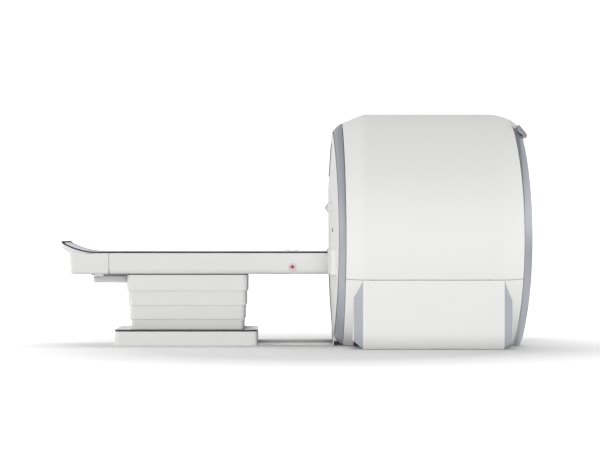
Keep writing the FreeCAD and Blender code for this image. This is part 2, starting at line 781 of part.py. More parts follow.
def front_details():
    yoke_front, yoke_near = "front_place + yoke_setback", "channel_half + cover_wall"
    lobes = []
    for side, sign in (("left", ""), ("right", "0 - ")):
        corners = [
            ("front_place - yoke_proud", "%s(%s)" % (sign, yoke_near)),
            (yoke_front, "%s(yoke_half - yoke_corner)" % sign),
            ("%s + yoke_corner_run" % yoke_front, "%syoke_half" % sign),
            ("front_place + detail_back", "%syoke_half" % sign),
            ("front_place + detail_back", "%s(%s)" % (sign, yoke_near)),
        ]
        lobe = pad("yoke_" + side, "XY_Plane", [corners], "yoke_low", "yoke_top")
        lobes.append(cut("yoke_seat_" + side, lobe, dome_outer))
    piece(group("yoke_group", *lobes), "docking_yokes")
    frame = block("bezel_box", ("front_place - 3 * overrun", "0 - display_half", "display_low"),
                  ("front_place + detail_back", "display_half", "display_low + display_tall"))
    window = block("window_box", ("front_place - 3 * overrun", "bezel_width - display_half", "display_low + bezel_width"),
                   ("front_place + detail_back", "display_half - bezel_width",
                    "display_low + display_tall - bezel_width"))
    proud = dome("bezel_face", "0 - display_proud", "150")
    sunk = dome("glass_face", "glass_sink - display_proud", "150")
    raised = cut("bezel_raised", common("bezel_slab", frame, proud), dome_outer)
    piece(cut("bezel_open", raised, window), "display_bezel")
    piece(cut("glass_seat", common("glass_slab", window, sunk), dome_outer), "display_glass")
    pods, jacks, slots = [], [], []
    for side, sign in (("left", ""), ("right", "0 - ")):
        mid = "(%spod_place)" % sign
        pod = block("pod_box_" + side, ("front_place - pod_depth", "%s - pod_width / 2" % mid, "pod_low"),
                    ("front_place + pod_back", "%s + pod_width / 2" % mid, "pod_low + pod_tall"))
        pod = cut("pod_seat_" + side, pod, dome_outer)
        level = "pod_low + pod_tall / 2"
        face = "front_place - pod_depth"
        for control, offset in (("dial", "- dial_offset"), ("button", "+ button_offset")):
            label, place = "%s_%s" % (control, side), "%s %s" % (mid, offset)
            hole = rod(label + "_hole", "x", ("%s - 1" % face, place, level), "%s_radius + press_fit_gap" % control,
                       "control_socket + 1")
            pod = cut(label + "_socket", pod, hole)
            piece(rod(label + "_body", "x", ("%s - %s_proud" % (face, control), place, level), control + "_radius",
                      "%s_proud + %s_sink" % (control, control)), label)
        pods.append(pod)
        jack_mid = "(%sjack_place)" % sign
        jack_face = "%s - jack_proud" % dome_place("jack_place", "jack_rise")
        jack = rod("jack_" + side, "x", (jack_face, jack_mid, "axis_height + jack_rise"), "jack_radius", "3 * overrun")
        jacks.append(cut("jack_seat_" + side, jack, dome_outer))
        slot_low = "jack_place - slot_lead" if side == "left" else "0 - jack_place + slot_lead - slot_long"
        slot_front = "%s - slot_proud" % dome_place("jack_place", "slot_rise + slot_tall / 2")
        slot = block("slot_" + side, (slot_front, slot_low, "axis_height + slot_rise"),
                     ("front_place + detail_back", "%s + slot_long" % slot_low, "axis_height + slot_rise + slot_tall"))
        slots.append(cut("slot_seat_" + side, slot, dome_outer))
    piece(group("pod_group", *pods), "control_pods")
    piece(group("jack_group", *jacks), "coil_jacks")
    piece(group("slot_group", *slots), "side_slots")
    piece(pad("duct_section", "YZ_Plane", [[
        ("0 - duct_half", "0"), ("duct_half", "0"), ("duct_top_half", "duct_tall"), ("0 - duct_top_half", "duct_tall"),
    ]], "plinth_front + run_gap", "channel_back - run_gap"), "floor_duct")


# ---------------------------------------------------------------- lift
def base():
    rear = "plinth_front - plinth_length"
    outline = rounded(rear, "plinth_front", "0 - plinth_half", "plinth_half", "plinth_corner")
    hollow = rounded("%s + plinth_wall" % rear, "plinth_front - plinth_wall", "plinth_wall - plinth_half",
                     "plinth_half - plinth_wall", "plinth_corner - plinth_wall")
    solid = pad("plinth_block", "XY_Plane", [outline], "0", "plinth_tall")
    space = pad("plinth_space", "XY_Plane", [hollow], "plinth_floor", "plinth_tall + overrun")
    piece(cut("plinth_shell", solid, space), "base_plinth")
    lip = rounded("%s - base_rim_lap" % rear, "plinth_front + base_rim_lap", "0 - plinth_half - base_rim_lap",
                  "plinth_half + base_rim_lap", "plinth_corner + base_rim_lap")
    well = stage_loop(3, "stage_wall + base_rim_well")
    piece(pad("rim_plate", "XY_Plane", [lip, well], "plinth_tall", "plinth_tall + base_rim_tall"), "base_rim")


def stage_loop(number_down, inset):
    """The outline of a cover stage; each stage down is one step smaller."""
    step = "%d * stage_step + %s" % (number_down, inset)
    return rounded("stage_front - top_stage_length + %s" % step, "stage_front - (%s)" % step,
                   "0 - top_stage_half + %s" % step, "top_stage_half - (%s)" % step, "stage_corner - (%s) / 2" % step)


def stage(label, number_down, low, high, lipped):
    """One telescoping cover: a thin wall, with an inward lip that rides on the stage inside it."""
    outer = stage_loop(number_down, "0")
    wall = pad(label + "_wall", "XY_Plane", [outer, stage_loop(number_down, "stage_wall")], low, high)
    if lipped:
        lip = pad(label + "_lip", "XY_Plane", [outer, stage_loop(number_down, "stage_step - stage_gap")],
                  low, "%s + stage_lip" % low)
        wall = fuse(label + "_joined", wall, lip)
    piece(wall, label)


def lift():
    stage("lift_cover_base", 3, "stage_low", "stage_two_low + stage_lap", False)
    stage("lift_cover_low", 2, "stage_two_low", "stage_three_low + stage_lap", True)
    stage("lift_cover_mid", 1, "stage_three_low", "stage_top_low + stage_lap", True)
    stage("lift_cover_top", 0, "stage_top_low", "sub_low", True)
    levels = (
        ("column_outers", 0, "plinth_floor", "column_tall", "column_wall"),
        ("column_middles", 1, "plinth_floor + middle_rise", "column_tall", "column_wall"),
        ("column_inners", 2, "sub_low - column_tall - inner_lap", "column_tall + inner_lap", "inner_wall"),
    )
    for label, inner, low, tall, wall in levels:
        half = "column_half - %d * (column_wall + column_gap)" % inner
        pair = []
        for end, sign in (("head", "+"), ("foot", "-")):
            centre = "column_middle_place %s column_spread" % sign
            outline = rounded("%s - (%s)" % (centre, half), "%s + %s" % (centre, half),
                              "0 - (%s)" % half, half, "column_corner - %d * column_corner_step" % inner)
            hollow_half = "%s - %s" % (half, wall)
            hollow = rounded("%s - (%s)" % (centre, hollow_half), "%s + %s" % (centre, hollow_half),
                             "0 - (%s)" % hollow_half, hollow_half, "column_inside_corner")
            pair.append(pad("%s_%s" % (label, end), "XY_Plane", [outline, hollow], low, "%s + %s" % (low, tall)))
        piece(group(label + "_pair", *pair), label)


# ---------------------------------------------------------------- table
LATCH_PIVOT = ("latch_place + latch_round", "latch_inset - latch_round - sub_half")


def frame():
    plate = block("sub_plate_box", ("sub_rear", "0 - sub_half", "sub_low"), ("stage_front", "sub_half", "frame_low"))
    pivot = rod("latch_pin_hole", "z", (*LATCH_PIVOT, "latch_top"), "latch_pin + axle_fit", "sub_plate + latch_gap + 1")
    piece(cut("sub_plate_bored", plate, pivot), "sub_frame")
    start, end = "foot_seam - rail_overhang", "head_place - nose_wall"
    pitch = "(cover_length + rail_overhang - nose_wall) / 4"
    body = block("frame_slab", (start, "0 - frame_half", "frame_low"), (end, "frame_half", "frame_top"))
    for i in range(4):
        left = "%s + 2 * window_edge + %d * %s" % (start, i, pitch)
        for low, high in (("2 * window_edge", "guide_place - guide_width / 2 - window_edge"),
                          ("guide_place + guide_width / 2 + window_edge", "frame_half - window_side")):
            for sign, a, b in (("", low, high), ("0 - ", "(%s)" % high, "(%s)" % low)):
                window = block("frame_window", (left, sign + a, "frame_low + window_floor"),
                               ("%s + %s - window_rib" % (left, pitch), sign + b, "frame_top + 1"))
                body = cut("frame_pocket", body, window)
    piece(body, "table_frame")
    rails = []
    axles = [rod("axle_hole_" + name, "y", (place, "0 - table_half", "belt_height"), "axle_radius + axle_fit", "2 * table_half")
             for name, place in (("drive", "drive_place"), ("idler", "idler_place"))]
    for side, sign in (("left", "1"), ("right", "-1")):
        mid = "guide_place * (%s)" % sign
        edge, web = "guide_width / 2", "guide_width / 5"
        rail = pad("guide_" + side, "YZ_Plane", [[
            ("%s - %s" % (mid, edge), "frame_top"),
            ("%s + %s" % (mid, edge), "frame_top"),
            ("%s + %s" % (mid, edge), "frame_top + guide_flange"),
            ("%s + %s" % (mid, web), "frame_top + guide_flange"),
            ("%s + %s" % (mid, web), "rail_top - guide_flange"),
            ("%s + %s" % (mid, edge), "rail_top - guide_flange"),
            ("%s + %s" % (mid, edge), "rail_top"),
            ("%s - %s" % (mid, edge), "rail_top"),
            ("%s - %s" % (mid, edge), "rail_top - guide_flange"),
            ("%s - %s" % (mid, web), "rail_top - guide_flange"),
            ("%s - %s" % (mid, web), "frame_top + guide_flange"),
            ("%s - %s" % (mid, edge), "frame_top + guide_flange"),
        ]], start, end)
        for hole in axles:
            rail = cut("guide_bored", rail, hole)
        rails.append(rail)
    piece(group("guide_pair", *rails), "guide_rails")
    piece(pad("nose_plate", "YZ_Plane", [[
        ("edge_roll - table_half", "cover_bottom"),
        ("table_half - edge_roll", "cover_bottom", "edge_roll"),
        ("table_half", "cover_bottom + edge_roll"),
        ("table_half", "cover_top"),
        ("trough_half", "cover_top"),
        ("trough_half", "trough_floor"),
        ("0 - trough_half", "trough_floor"),
        ("0 - trough_half", "cover_top"),
        ("0 - table_half", "cover_top"),
        ("0 - table_half", "cover_bottom + edge_roll", "edge_roll"),
    ]], end, "head_place"), "nose_panel")


def cover_section(sign):
    """A C-shaped side cover in the YZ plane: outer wall, rolled lower edge, top ledge, inner trough wall."""
    def y(text):
        return text if sign > 0 else "0 - (%s)" % text

    return [
        (y("table_half - edge_roll"), "cover_bottom", y("edge_roll")),
        (y("table_half"), "cover_bottom + edge_roll"),
        (y("table_half"), "cover_top"),
        (y("trough_half"), "cover_top"),
        (y("trough_half"), "trough_floor"),
        (y("trough_half + table_wall"), "trough_floor"),
        (y("trough_half + table_wall"), "cover_top - table_wall"),
        (y("table_half - table_wall"), "cover_top - table_wall"),
        (y("table_half - table_wall"), "cover_bottom + edge_roll", y("0 - (edge_roll - table_wall)")),
        (y("table_half - edge_roll"), "cover_bottom + table_wall"),
    ]


def table_covers():
    rims = []
    for side, sign in (("left", 1), ("right", -1)):
        piece(pad("cover_" + side, "YZ_Plane", [cover_section(sign)], "foot_seam", "head_place - nose_wall"),
              "side_cover_" + side)
        low, high = ("trough_half - 2", "table_half + 1") if sign > 0 else ("0 - table_half - 1", "2 - trough_half")
        rims.append(block("rim_" + side, ("foot_seam", low, "cover_top"),
                          ("head_place", high, "table_top")))
    piece(group("rim_pair", *rims), "rim_trims")


def foot_end():
    """The scoop at the foot end, whose lip curves up to a handle edge."""
    tip = "lip_tip"
    bend = "foot_seam - lip_bend"
    above = "table_top + far"
    outline = [
        ("foot_seam", "cover_bottom"),
        ("foot_seam", "cover_top"),
        (bend, "cover_top", "0 - lip_bow"),
        (tip, "cover_top + lip_rise"),
        (tip, "table_top + lip_rise - rim_tall - lip_tall"),
        ("foot_place - 56", "table_top + 34"),
        ("foot_place - 13", "table_top + 5"),
        ("foot_place", "table_top - 12"),
        ("foot_place + 11", "cover_bottom + 26"),
        ("foot_place + 37", "cover_bottom"),
    ]
    half, inner = "table_half", "trough_half"
    body = pad("foot_block", "XZ_Plane", [outline], "0 - %s" % half, half)
    plan = pad("foot_plan", "XY_Plane", [rounded(tip, "foot_seam + 2 * foot_corner", "0 - %s" % half, half, "foot_corner")],
               "cover_bottom - overrun", above)
    keep = block("foot_keep", ("%s - overrun" % tip, "0 - far", "cover_bottom - overrun"), ("foot_seam", "far", above))
    trough = pad("foot_trough", "XZ_Plane", [[
        ("foot_seam + 1", "trough_floor"),
        ("foot_seam + 1", above),
        ("%s + trough_lip" % tip, above),
        ("%s + trough_lip" % tip, "table_top + lip_rise - rim_tall - 12", "lip_bow * 0.55"),
        ("foot_seam - 170", "trough_floor"),
    ]], "0 - %s" % inner, inner)
    hollow = pad("foot_hollow", "XZ_Plane", [[
        ("foot_seam + 1", "cover_bottom + table_wall"),
        ("foot_seam + 1", "rail_top - 20"),
        ("foot_seam - 200", "rail_top - 20"),
        ("foot_place + 30", "rail_top + 8"),
        ("foot_place + 30", "cover_bottom + 40"),
        ("foot_place + 60", "cover_bottom + table_wall"),
    ]], "table_wall - %s" % half, "%s - table_wall" % half)
    bay = block("rail_bay", ("foot_seam - rail_overhang - 6", "0 - %s" % inner, "cover_bottom + table_wall"),
                ("foot_seam + 1", inner, above))
    notch = block("sub_frame_notch", ("sub_rear - 2", "0 - sub_half - 2", "cover_bottom - 1"),
                  ("foot_seam + 1", "sub_half + 2", "cover_bottom + table_wall + 1"))
    scoop = cut("foot_scoop", cut("foot_open", common("foot_rounded", body, plan, keep), trough), hollow)
    piece(cut("foot_notched", cut("foot_bay", scoop, bay), notch), "foot_cap")
    band = pad("foot_band", "XZ_Plane", [[
        ("foot_seam", "cover_top"),
        ("foot_seam", "table_top"),
        (bend, "table_top", "0 - (lip_bow - rim_tall)"),
        (tip, "table_top + lip_rise"),
        (tip, "cover_top + lip_rise", "lip_bow"),
        (bend, "cover_top"),
    ]], "0 - %s" % half, half)
    inside = pad("foot_inside", "XY_Plane", [rounded("%s + trough_lip" % tip, "foot_seam + 2 * foot_corner", "2 - %s" % inner,
                                                     "%s - 2" % inner, "60")], "table_top - 100", above)
    piece(cut("foot_rim_open", common("foot_rim_round", band, plan, keep), inside), "foot_rim")


def drive():
    piece(pad("drive_section", "YZ_Plane", [[
        ("0 - housing_half", "sub_low - housing_drop"),
        ("housing_half", "sub_low - housing_drop"),
        ("housing_half", "sub_low - housing_shoulder"),
        ("housing_neck", "sub_low - housing_shoulder"),
        ("housing_neck", "sub_low"),
        ("0 - housing_neck", "sub_low"),
        ("0 - housing_neck", "sub_low - housing_shoulder"),
        ("0 - housing_half", "sub_low - housing_shoulder"),
    ]], "sub_rear", "stage_front - top_stage_length - housing_gap"), "drive_housing")
    radius = "pulley_radius"
    for name, place in (("drive", "drive_place"), ("idler", "idler_place")):
        wheel = rod(name + "_wheel", "y", (place, "0 - belt_width / 2 - wheel_rim", "belt_height"), radius,
                    "belt_width + 2 * wheel_rim")
        axle = rod(name + "_axle", "y", (place, "0 - guide_place - guide_width / 2", "belt_height"), "axle_radius",
                   "2 * guide_place + guide_width")
        piece(fuse(name + "_pulley_parts", wheel, axle), name + "_pulley")

    def strand(reach):
        return [
            ("drive_place", "belt_height - (%s)" % reach),
            ("idler_place", "belt_height - (%s)" % reach, reach),
            ("idler_place + %s" % reach, "belt_height", reach),
            ("idler_place", "belt_height + %s" % reach),
            ("drive_place", "belt_height + %s" % reach, reach),
            ("drive_place - (%s)" % reach, "belt_height", reach),
        ]

    piece(pad("belt_loop", "XZ_Plane", [strand("belt_reach"), strand("belt_reach - belt_thick")],
              "0 - belt_width / 2", "belt_width / 2"), "drive_belt")
    paddle = pad("latch_paddle", "XY_Plane", [rounded(
        "latch_place", "latch_place + latch_long", "0 - sub_half - latch_overhang", "latch_inset - sub_half",
        "latch_round")], "latch_top - latch_thick", "latch_top")
    pin = rod("latch_pin_body", "z", (*LATCH_PIVOT, "latch_top - latch_thick"), "latch_pin",
              "latch_thick + latch_gap + latch_pin_reach")
    piece(fuse("latch_joined", paddle, pin), "release_latch")


def emergency_stops():
    rings = []
    for side, start, low in (
            ("left", "table_half", "table_half + estop_sink"),
            ("right", "0 - table_half - estop_thick", "0 - table_half - estop_sink - estop_long")):
        ring = rod("estop_disc_" + side, "y", ("estop_x", start, "estop_height"), "estop_outer", "estop_thick")
        hole = rod("estop_hole_" + side, "y", ("estop_x", "%s - 1" % start, "estop_height"),
                   "estop_button + press_fit_gap", "estop_thick + 2")
        rings.append(cut("estop_ring_" + side, ring, hole))
        piece(rod("estop_push_" + side, "y", ("estop_x", low, "estop_height"), "estop_button", "estop_long"),
              "estop_button_" + side)
    piece(group("estop_pair", *rings), "estop_rings")


def board():
    sag = "board_edge - board_thick"
    bow = "(board_half ^ 2 + (%s) ^ 2) / (2 * (%s))" % (sag, sag)
    plank = pad("board_section", "YZ_Plane", [[
        ("board_bevel - board_half", "board_low"),
        ("board_half - board_bevel", "board_low"),
        ("board_half", "board_low + board_edge - board_lip"),
        ("board_half", "board_low + board_edge", "0 - (%s)" % bow),
        ("0 - board_half", "board_low + board_edge"),
        ("0 - board_half", "board_low + board_edge - board_lip"),
    ]], "board_tail", "board_head")
    piece(plank, "patient_board")
    start = "board_tail + carriage_setback"
    piece(block("carriage_block", (start, "0 - carriage_half", "belt_height + belt_reach + run_gap"),
                ("%s + carriage_long" % start, "carriage_half", "board_low")), "board_carriage")
    sockets = []
    for i, place in enumerate(("head_place - socket_first", "head_place - socket_first + socket_pitch")):
        for side, low in (("left", "board_half - socket_inset - socket_wide"), ("right", "socket_inset - board_half")):
            box = block("socket_%s_%d" % (side, i), (place, low, "board_low + board_edge - socket_sink"),
                        ("%s + socket_long" % place, "%s + socket_wide" % low, "board_low + board_edge + socket_rise"))
            sockets.append(cut("socket_seat_%s_%d" % (side, i), box, plank))
    piece(group("socket_group", *sockets), "coil_sockets")


magnet()
hoop("front_hoop", "magnet_place + hoop_inset")
hoop("rear_hoop", "magnet_back - hoop_inset")
bore()
front_covers()
side_covers()
rear_covers()
front_details()
base()
lift()
frame()
table_covers()
foot_end()
drive()
emergency_stops()
board()
doc.recompute()

for item in doc.Objects:
    if "Invalid" in item.State or "Error" in item.State:
        raise RuntimeError("%s did not build: %s" % (item.Name, item.State))
for item in pieces:
    if item.Shape.isNull() or not item.Shape.isValid() or not item.Shape.Solids:
        raise RuntimeError("%s has no valid solid" % item.Label)

os.makedirs("parts", exist_ok=True)
for item in pieces:
    item.Shape.exportStep("parts/%s.step" % item.Label)
print(len(pieces), "pieces written")
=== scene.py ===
"""Visual model of a whole-body MRI scanner with its docked patient table, in metres.

X runs along the bore from the table to the back of the scanner, Z is up, and the floor is Z = 0.
"""
import itertools
import math
import bmesh
import bpy
import numpy as np
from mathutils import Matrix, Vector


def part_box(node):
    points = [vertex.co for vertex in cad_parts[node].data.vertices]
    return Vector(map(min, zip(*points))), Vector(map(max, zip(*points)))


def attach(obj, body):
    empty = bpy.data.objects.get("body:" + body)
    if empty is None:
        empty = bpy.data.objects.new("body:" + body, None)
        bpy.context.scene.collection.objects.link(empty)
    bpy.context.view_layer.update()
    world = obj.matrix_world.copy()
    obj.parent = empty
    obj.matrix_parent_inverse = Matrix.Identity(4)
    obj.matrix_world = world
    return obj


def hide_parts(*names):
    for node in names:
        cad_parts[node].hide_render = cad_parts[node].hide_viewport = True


bl_info = {
    "name": "MRI scanner",
    "version": (1, 0, 0),
    "blender": (4, 5, 0),
    "location": "3D View > Sidebar > Scanner",
    "description": "Builds the covers, patient table and finishes of a whole-body MRI scanner",
    "category": "Object",
}

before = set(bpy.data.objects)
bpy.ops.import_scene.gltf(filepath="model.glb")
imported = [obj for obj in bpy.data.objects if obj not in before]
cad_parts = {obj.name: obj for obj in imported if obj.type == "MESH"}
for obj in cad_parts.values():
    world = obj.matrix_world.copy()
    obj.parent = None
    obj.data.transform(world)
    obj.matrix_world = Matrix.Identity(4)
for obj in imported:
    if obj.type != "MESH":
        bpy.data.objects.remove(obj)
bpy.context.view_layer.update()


def side_of(node, corner, axis):
    """One face of a frame node's box: corner 0 is low and 1 is high."""
    return float(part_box(node)[corner]["xyz".index(axis)])


DRUM = side_of("upper_shell_left", 1, "y")
AXIS = side_of("upper_shell_left", 1, "z") - DRUM
SEAM = (side_of("upper_shell_left", 0, "z") + side_of("skirt_left", 1, "z")) / 2
BACK = side_of("rear_top_rail", 1, "x") + 0.001
FRONT = BACK - 1.825
HEAD = side_of("nose_panel", 1, "x")
SEAM_X = side_of("foot_cap", 1, "x")
TIP = side_of("foot_cap", 0, "x")
TABLE_TOP = side_of("rim_trims", 1, "z")
TABLE_HALF = side_of("side_cover_left", 1, "y")
TROUGH = side_of("side_cover_left", 0, "y")
COVER_LOW = side_of("side_cover_left", 0, "z")
BOARD_LOW = side_of("patient_board", 0, "z")


SIDES = ((1, "left"), (-1, "right"))
BAND_START = BACK - 0.079  # the rear band's front edge at the bore axis
FLOOR_GAP = 0.004
RAIL_DROP = 0.147  # top of the drum to where the rear band meets its rail
RIM_DEEP = 0.013  # height of the table's soft rim
COVER_ROLL = 0.058  # radius of the lower edges of the table's covers
FACE_EDGE = 0.0012  # edge round, and gap to the bands, of the end faces


# ------------------------------------------------------------------ settings
def length(name, words, default):
    return bpy.props.FloatProperty(name=name, description=words, default=default, unit="LENGTH", precision=4)


def colour(name, words, default):
    return bpy.props.FloatVectorProperty(name=name, description=words, default=default, size=3,
                                         subtype="COLOR", min=0.0, max=1.0)


class ScannerSizes(bpy.types.PropertyGroup):
    wall: length("Cover wall", "Thickness of the moulded covers", 0.005)
    seam: length("Seam", "Width of the shadow gap between covers", 0.004)
    edge: length("Edge round", "Radius at the edges of the covers", 0.0022)
    bore: length("Bore radius", "Inner radius of the bore liner", side_of("bore_liner", 1, "y") - 0.004)
    mouth: length("Mouth radius", "Radius where the funnel meets the fascia", 0.452)
    plan_bow: length("Fascia bow in plan", "Radius of the fascia seen from above", 6.02)
    side_bow: length("Fascia bow from the side", "Radius of the fascia seen from the side", 10.94)
    ring_bow: length("Ring seam bow", "Radius in plan of the seam behind the front ring", 25.9)
    rear_bow: length("Rear bow", "Radius of the back seen from the side", 11.1)
    ring_width: length("Ring width", "Fascia to the seam behind the front ring", 0.129)
    shoulder: length("Shoulder run", "Ring seam to the straight barrel", 0.239)
    barrel: length("Barrel length", "Straight part of the drum", 1.115)
    tail: length("Tail run", "Barrel to the rear band", 0.263)
    chamfer_run: length("Corner run", "Cut corner of the lower covers along the bore", 0.079)
    chamfer_deep: length("Corner depth", "Cut corner of the lower covers across the bore", 0.105)
    toe_lift: length("Toe lift", "How far the cut corners rise off the floor", 0.064)
    toe_roll: length("Toe roll", "Height over which the lower covers tuck under", 0.17)


class ScannerColours(bpy.types.PropertyGroup):
    shell: colour("Covers", "White moulded covers", (0.795, 0.795, 0.780))
    table: colour("Table covers", "White table covers", (0.755, 0.755, 0.745))
    silver: colour("Accent lacquer", "Blue-grey metallic lacquer", (0.600, 0.612, 0.668))
    trim: colour("Dark trim", "Soft dark edge trim", (0.030, 0.030, 0.034))
    board: colour("Board", "Pale composite board", (0.80, 0.795, 0.86))
    stop: colour("Stop buttons", "Muted red", (0.32, 0.085, 0.095))
    glass: colour("Display", "Black display panel", (0.012, 0.013, 0.018))


def sizes():
    return bpy.context.scene.scanner_sizes


def colours():
    return bpy.context.scene.scanner_colours


# ------------------------------------------------------------------ shader groups
def new_group(name, inputs, outputs):
    """An empty shader node group with named sockets."""
    group = bpy.data.node_groups.new(name, "ShaderNodeTree")
    for label, kind, value in inputs:
        socket = group.interface.new_socket(label, in_out="INPUT", socket_type="NodeSocket" + kind)
        if value is not None:
            socket.default_value = value
    for label, kind in outputs:
        group.interface.new_socket(label, in_out="OUTPUT", socket_type="NodeSocket" + kind)
    return group, group.nodes.new("NodeGroupInput"), group.nodes.new("NodeGroupOutput")


def put(tree, kind, inputs=(), **settings):
    """A node with its settings; inputs pair a socket with the output that feeds it or with a plain value."""
    node = tree.nodes.new("ShaderNode" + kind)
    for key, value in settings.items():
        setattr(node, key, value)
    for key, source in inputs:
        if isinstance(source, bpy.types.NodeSocket):
            tree.links.new(source, node.inputs[key])
        else:
            node.inputs[key].default_value = source
    return node


def combine(tree, operation, *values):
    """The result of one Math node on up to three outputs or numbers."""
    return put(tree, "Math", enumerate(values), operation=operation).outputs[0]


def tint_scaled(tree, tint, tone):
    return put(tree, "VectorMath", [(0, tint), (3, tone)], operation="SCALE").outputs[0]


def close_group(group, sink, tint, roughness, height, strength, distance):
    """Adds the bump and joins the three results to the group's outputs."""
    bump = put(group, "Bump", [("Height", height), ("Strength", strength), ("Distance", distance)])
    for key, source in (("Colour", tint), ("Roughness", roughness), ("Normal", bump.outputs["Normal"])):
        group.links.new(source, sink.inputs[key])
    return group


# Height over which painted shade darkens the covers' colour near the floor
PAINTED_SHADE_TOP = 0.14
RESULTS = [("Colour", "Color"), ("Roughness", "Float"), ("Normal", "Vector")]


def moulded_group():
    """Fine orange-peel grain and faint mottling of tone and gloss, as on moulded covers, and painted shade
    that darkens the colour near the floor.
    """
    group, source, sink = new_group("moulded_skin", [
        ("Colour", "Color", (0.8, 0.8, 0.8, 1)), ("Grain scale", "Float", 600.0),
        ("Grain depth", "Float", 0.02), ("Mottle", "Float", 0.03), ("Roughness", "Float", 0.35),
        ("Gloss spread", "Float", 0.08), ("Painted foot shade", "Float", 0.0)], RESULTS)
    wanted = source.outputs
    place = put(group, "TexCoord").outputs["Object"]
    height = put(group, "SeparateXYZ", [(0, place)]).outputs["Z"]
    # Painted shade: the colour darkens towards the floor, standing in for contact shadow
    near_floor = put(group, "MapRange", [("Value", height), ("From Max", PAINTED_SHADE_TOP),
                                         ("To Min", 1.0), ("To Max", 0.0)])
    shade = combine(group, "MULTIPLY", near_floor.outputs["Result"], wanted["Painted foot shade"])
    grain = put(group, "TexNoise", [("Vector", place), ("Scale", wanted["Grain scale"]), ("Detail", 2)])
    broad = put(group, "TexNoise", [("Vector", place), ("Scale", 2.3), ("Detail", 4)])
    smear = put(group, "TexNoise", [("Vector", place), ("Scale", 19.0), ("Detail", 5)])
    centred = combine(group, "SUBTRACT", broad.outputs["Fac"], 0.5)
    amount = combine(group, "MULTIPLY", centred, wanted["Mottle"])
    tone = combine(group, "SUBTRACT", combine(group, "ADD", amount, 1.0), shade)
    rise = combine(group, "SUBTRACT", smear.outputs["Fac"], 0.5)
    spread = combine(group, "MULTIPLY", rise, wanted["Gloss spread"])
    return close_group(group, sink, tint_scaled(group, wanted["Colour"], tone),
                       combine(group, "ADD", wanted["Roughness"], spread),
                       grain.outputs["Fac"], wanted["Grain depth"], 0.001)


def lacquer_group():
    """Metal flakes under lacquer: each flake has its own tone and tilt."""
    group, source, sink = new_group("metal_lacquer", [
        ("Colour", "Color", (0.6, 0.6, 0.65, 1)), ("Flake scale", "Float", 900.0),
        ("Flake tone", "Float", 0.25), ("Flake depth", "Float", 0.15), ("Roughness", "Float", 0.4)], RESULTS)
    wanted = source.outputs
    place = put(group, "TexCoord").outputs["Object"]
    flakes = put(group, "TexVoronoi", [("Vector", place), ("Scale", wanted["Flake scale"])])
    cloud = put(group, "TexNoise", [("Vector", place), ("Scale", 5.0), ("Detail", 3)])
    flake = put(group, "SeparateColor", [("Color", flakes.outputs["Color"])]).outputs
    centred = combine(group, "SUBTRACT", flake["Red"], 0.5)
    tone = combine(group, "MULTIPLY_ADD", centred, wanted["Flake tone"], 1.0)
    haze = combine(group, "MULTIPLY_ADD", cloud.outputs["Fac"], 0.08, wanted["Roughness"])
    return close_group(group, sink, tint_scaled(group, wanted["Colour"], tone), haze,
                       flake["Green"], wanted["Flake depth"], 0.0004)


def brushed_group():
    """Long fine scratches along one axis, as on drawn or brushed metal."""
    group, source, sink = new_group("drawn_metal", [
        ("Colour", "Color", (0.6, 0.6, 0.6, 1)), ("Stretch", "Vector", (4.0, 300.0, 300.0)),
        ("Depth", "Float", 0.1), ("Roughness", "Float", 0.35)], RESULTS)
    wanted = source.outputs
    place = put(group, "TexCoord").outputs["Object"]
    along = put(group, "VectorMath", [(0, place), (1, wanted["Stretch"])], operation="MULTIPLY")
    scratches = put(group, "TexNoise", [("Vector", along.outputs[0]), ("Scale", 1.0), ("Detail", 4)])
    line = scratches.outputs["Fac"]
    tone = combine(group, "MULTIPLY_ADD", line, 0.25, 0.87)
    rough = combine(group, "MULTIPLY_ADD", line, 0.2, wanted["Roughness"])
    return close_group(group, sink, tint_scaled(group, wanted["Colour"], tone), rough,
                       line, wanted["Depth"], 0.0005)


GROUP_MAKERS = {"moulded_skin": moulded_group, "metal_lacquer": lacquer_group, "drawn_metal": brushed_group}


def skin(scale, depth, mottle, roughness, spread=0.08, foot=0.0):
    """Settings of the moulded_skin group; foot sets the painted shade that darkens the colour near the floor.
    """
    return {"Grain scale": scale, "Grain depth": depth, "Mottle": mottle, "Roughness": roughness,
            "Gloss spread": spread, "Painted foot shade": foot}


def drawn(stretch, depth, roughness):
    """Settings of the drawn_metal group."""
    return {"Stretch": stretch, "Depth": depth, "Roughness": roughness}


MATT = {"Specular IOR Level": 0.08}
METAL = {"Metallic": 0.95}
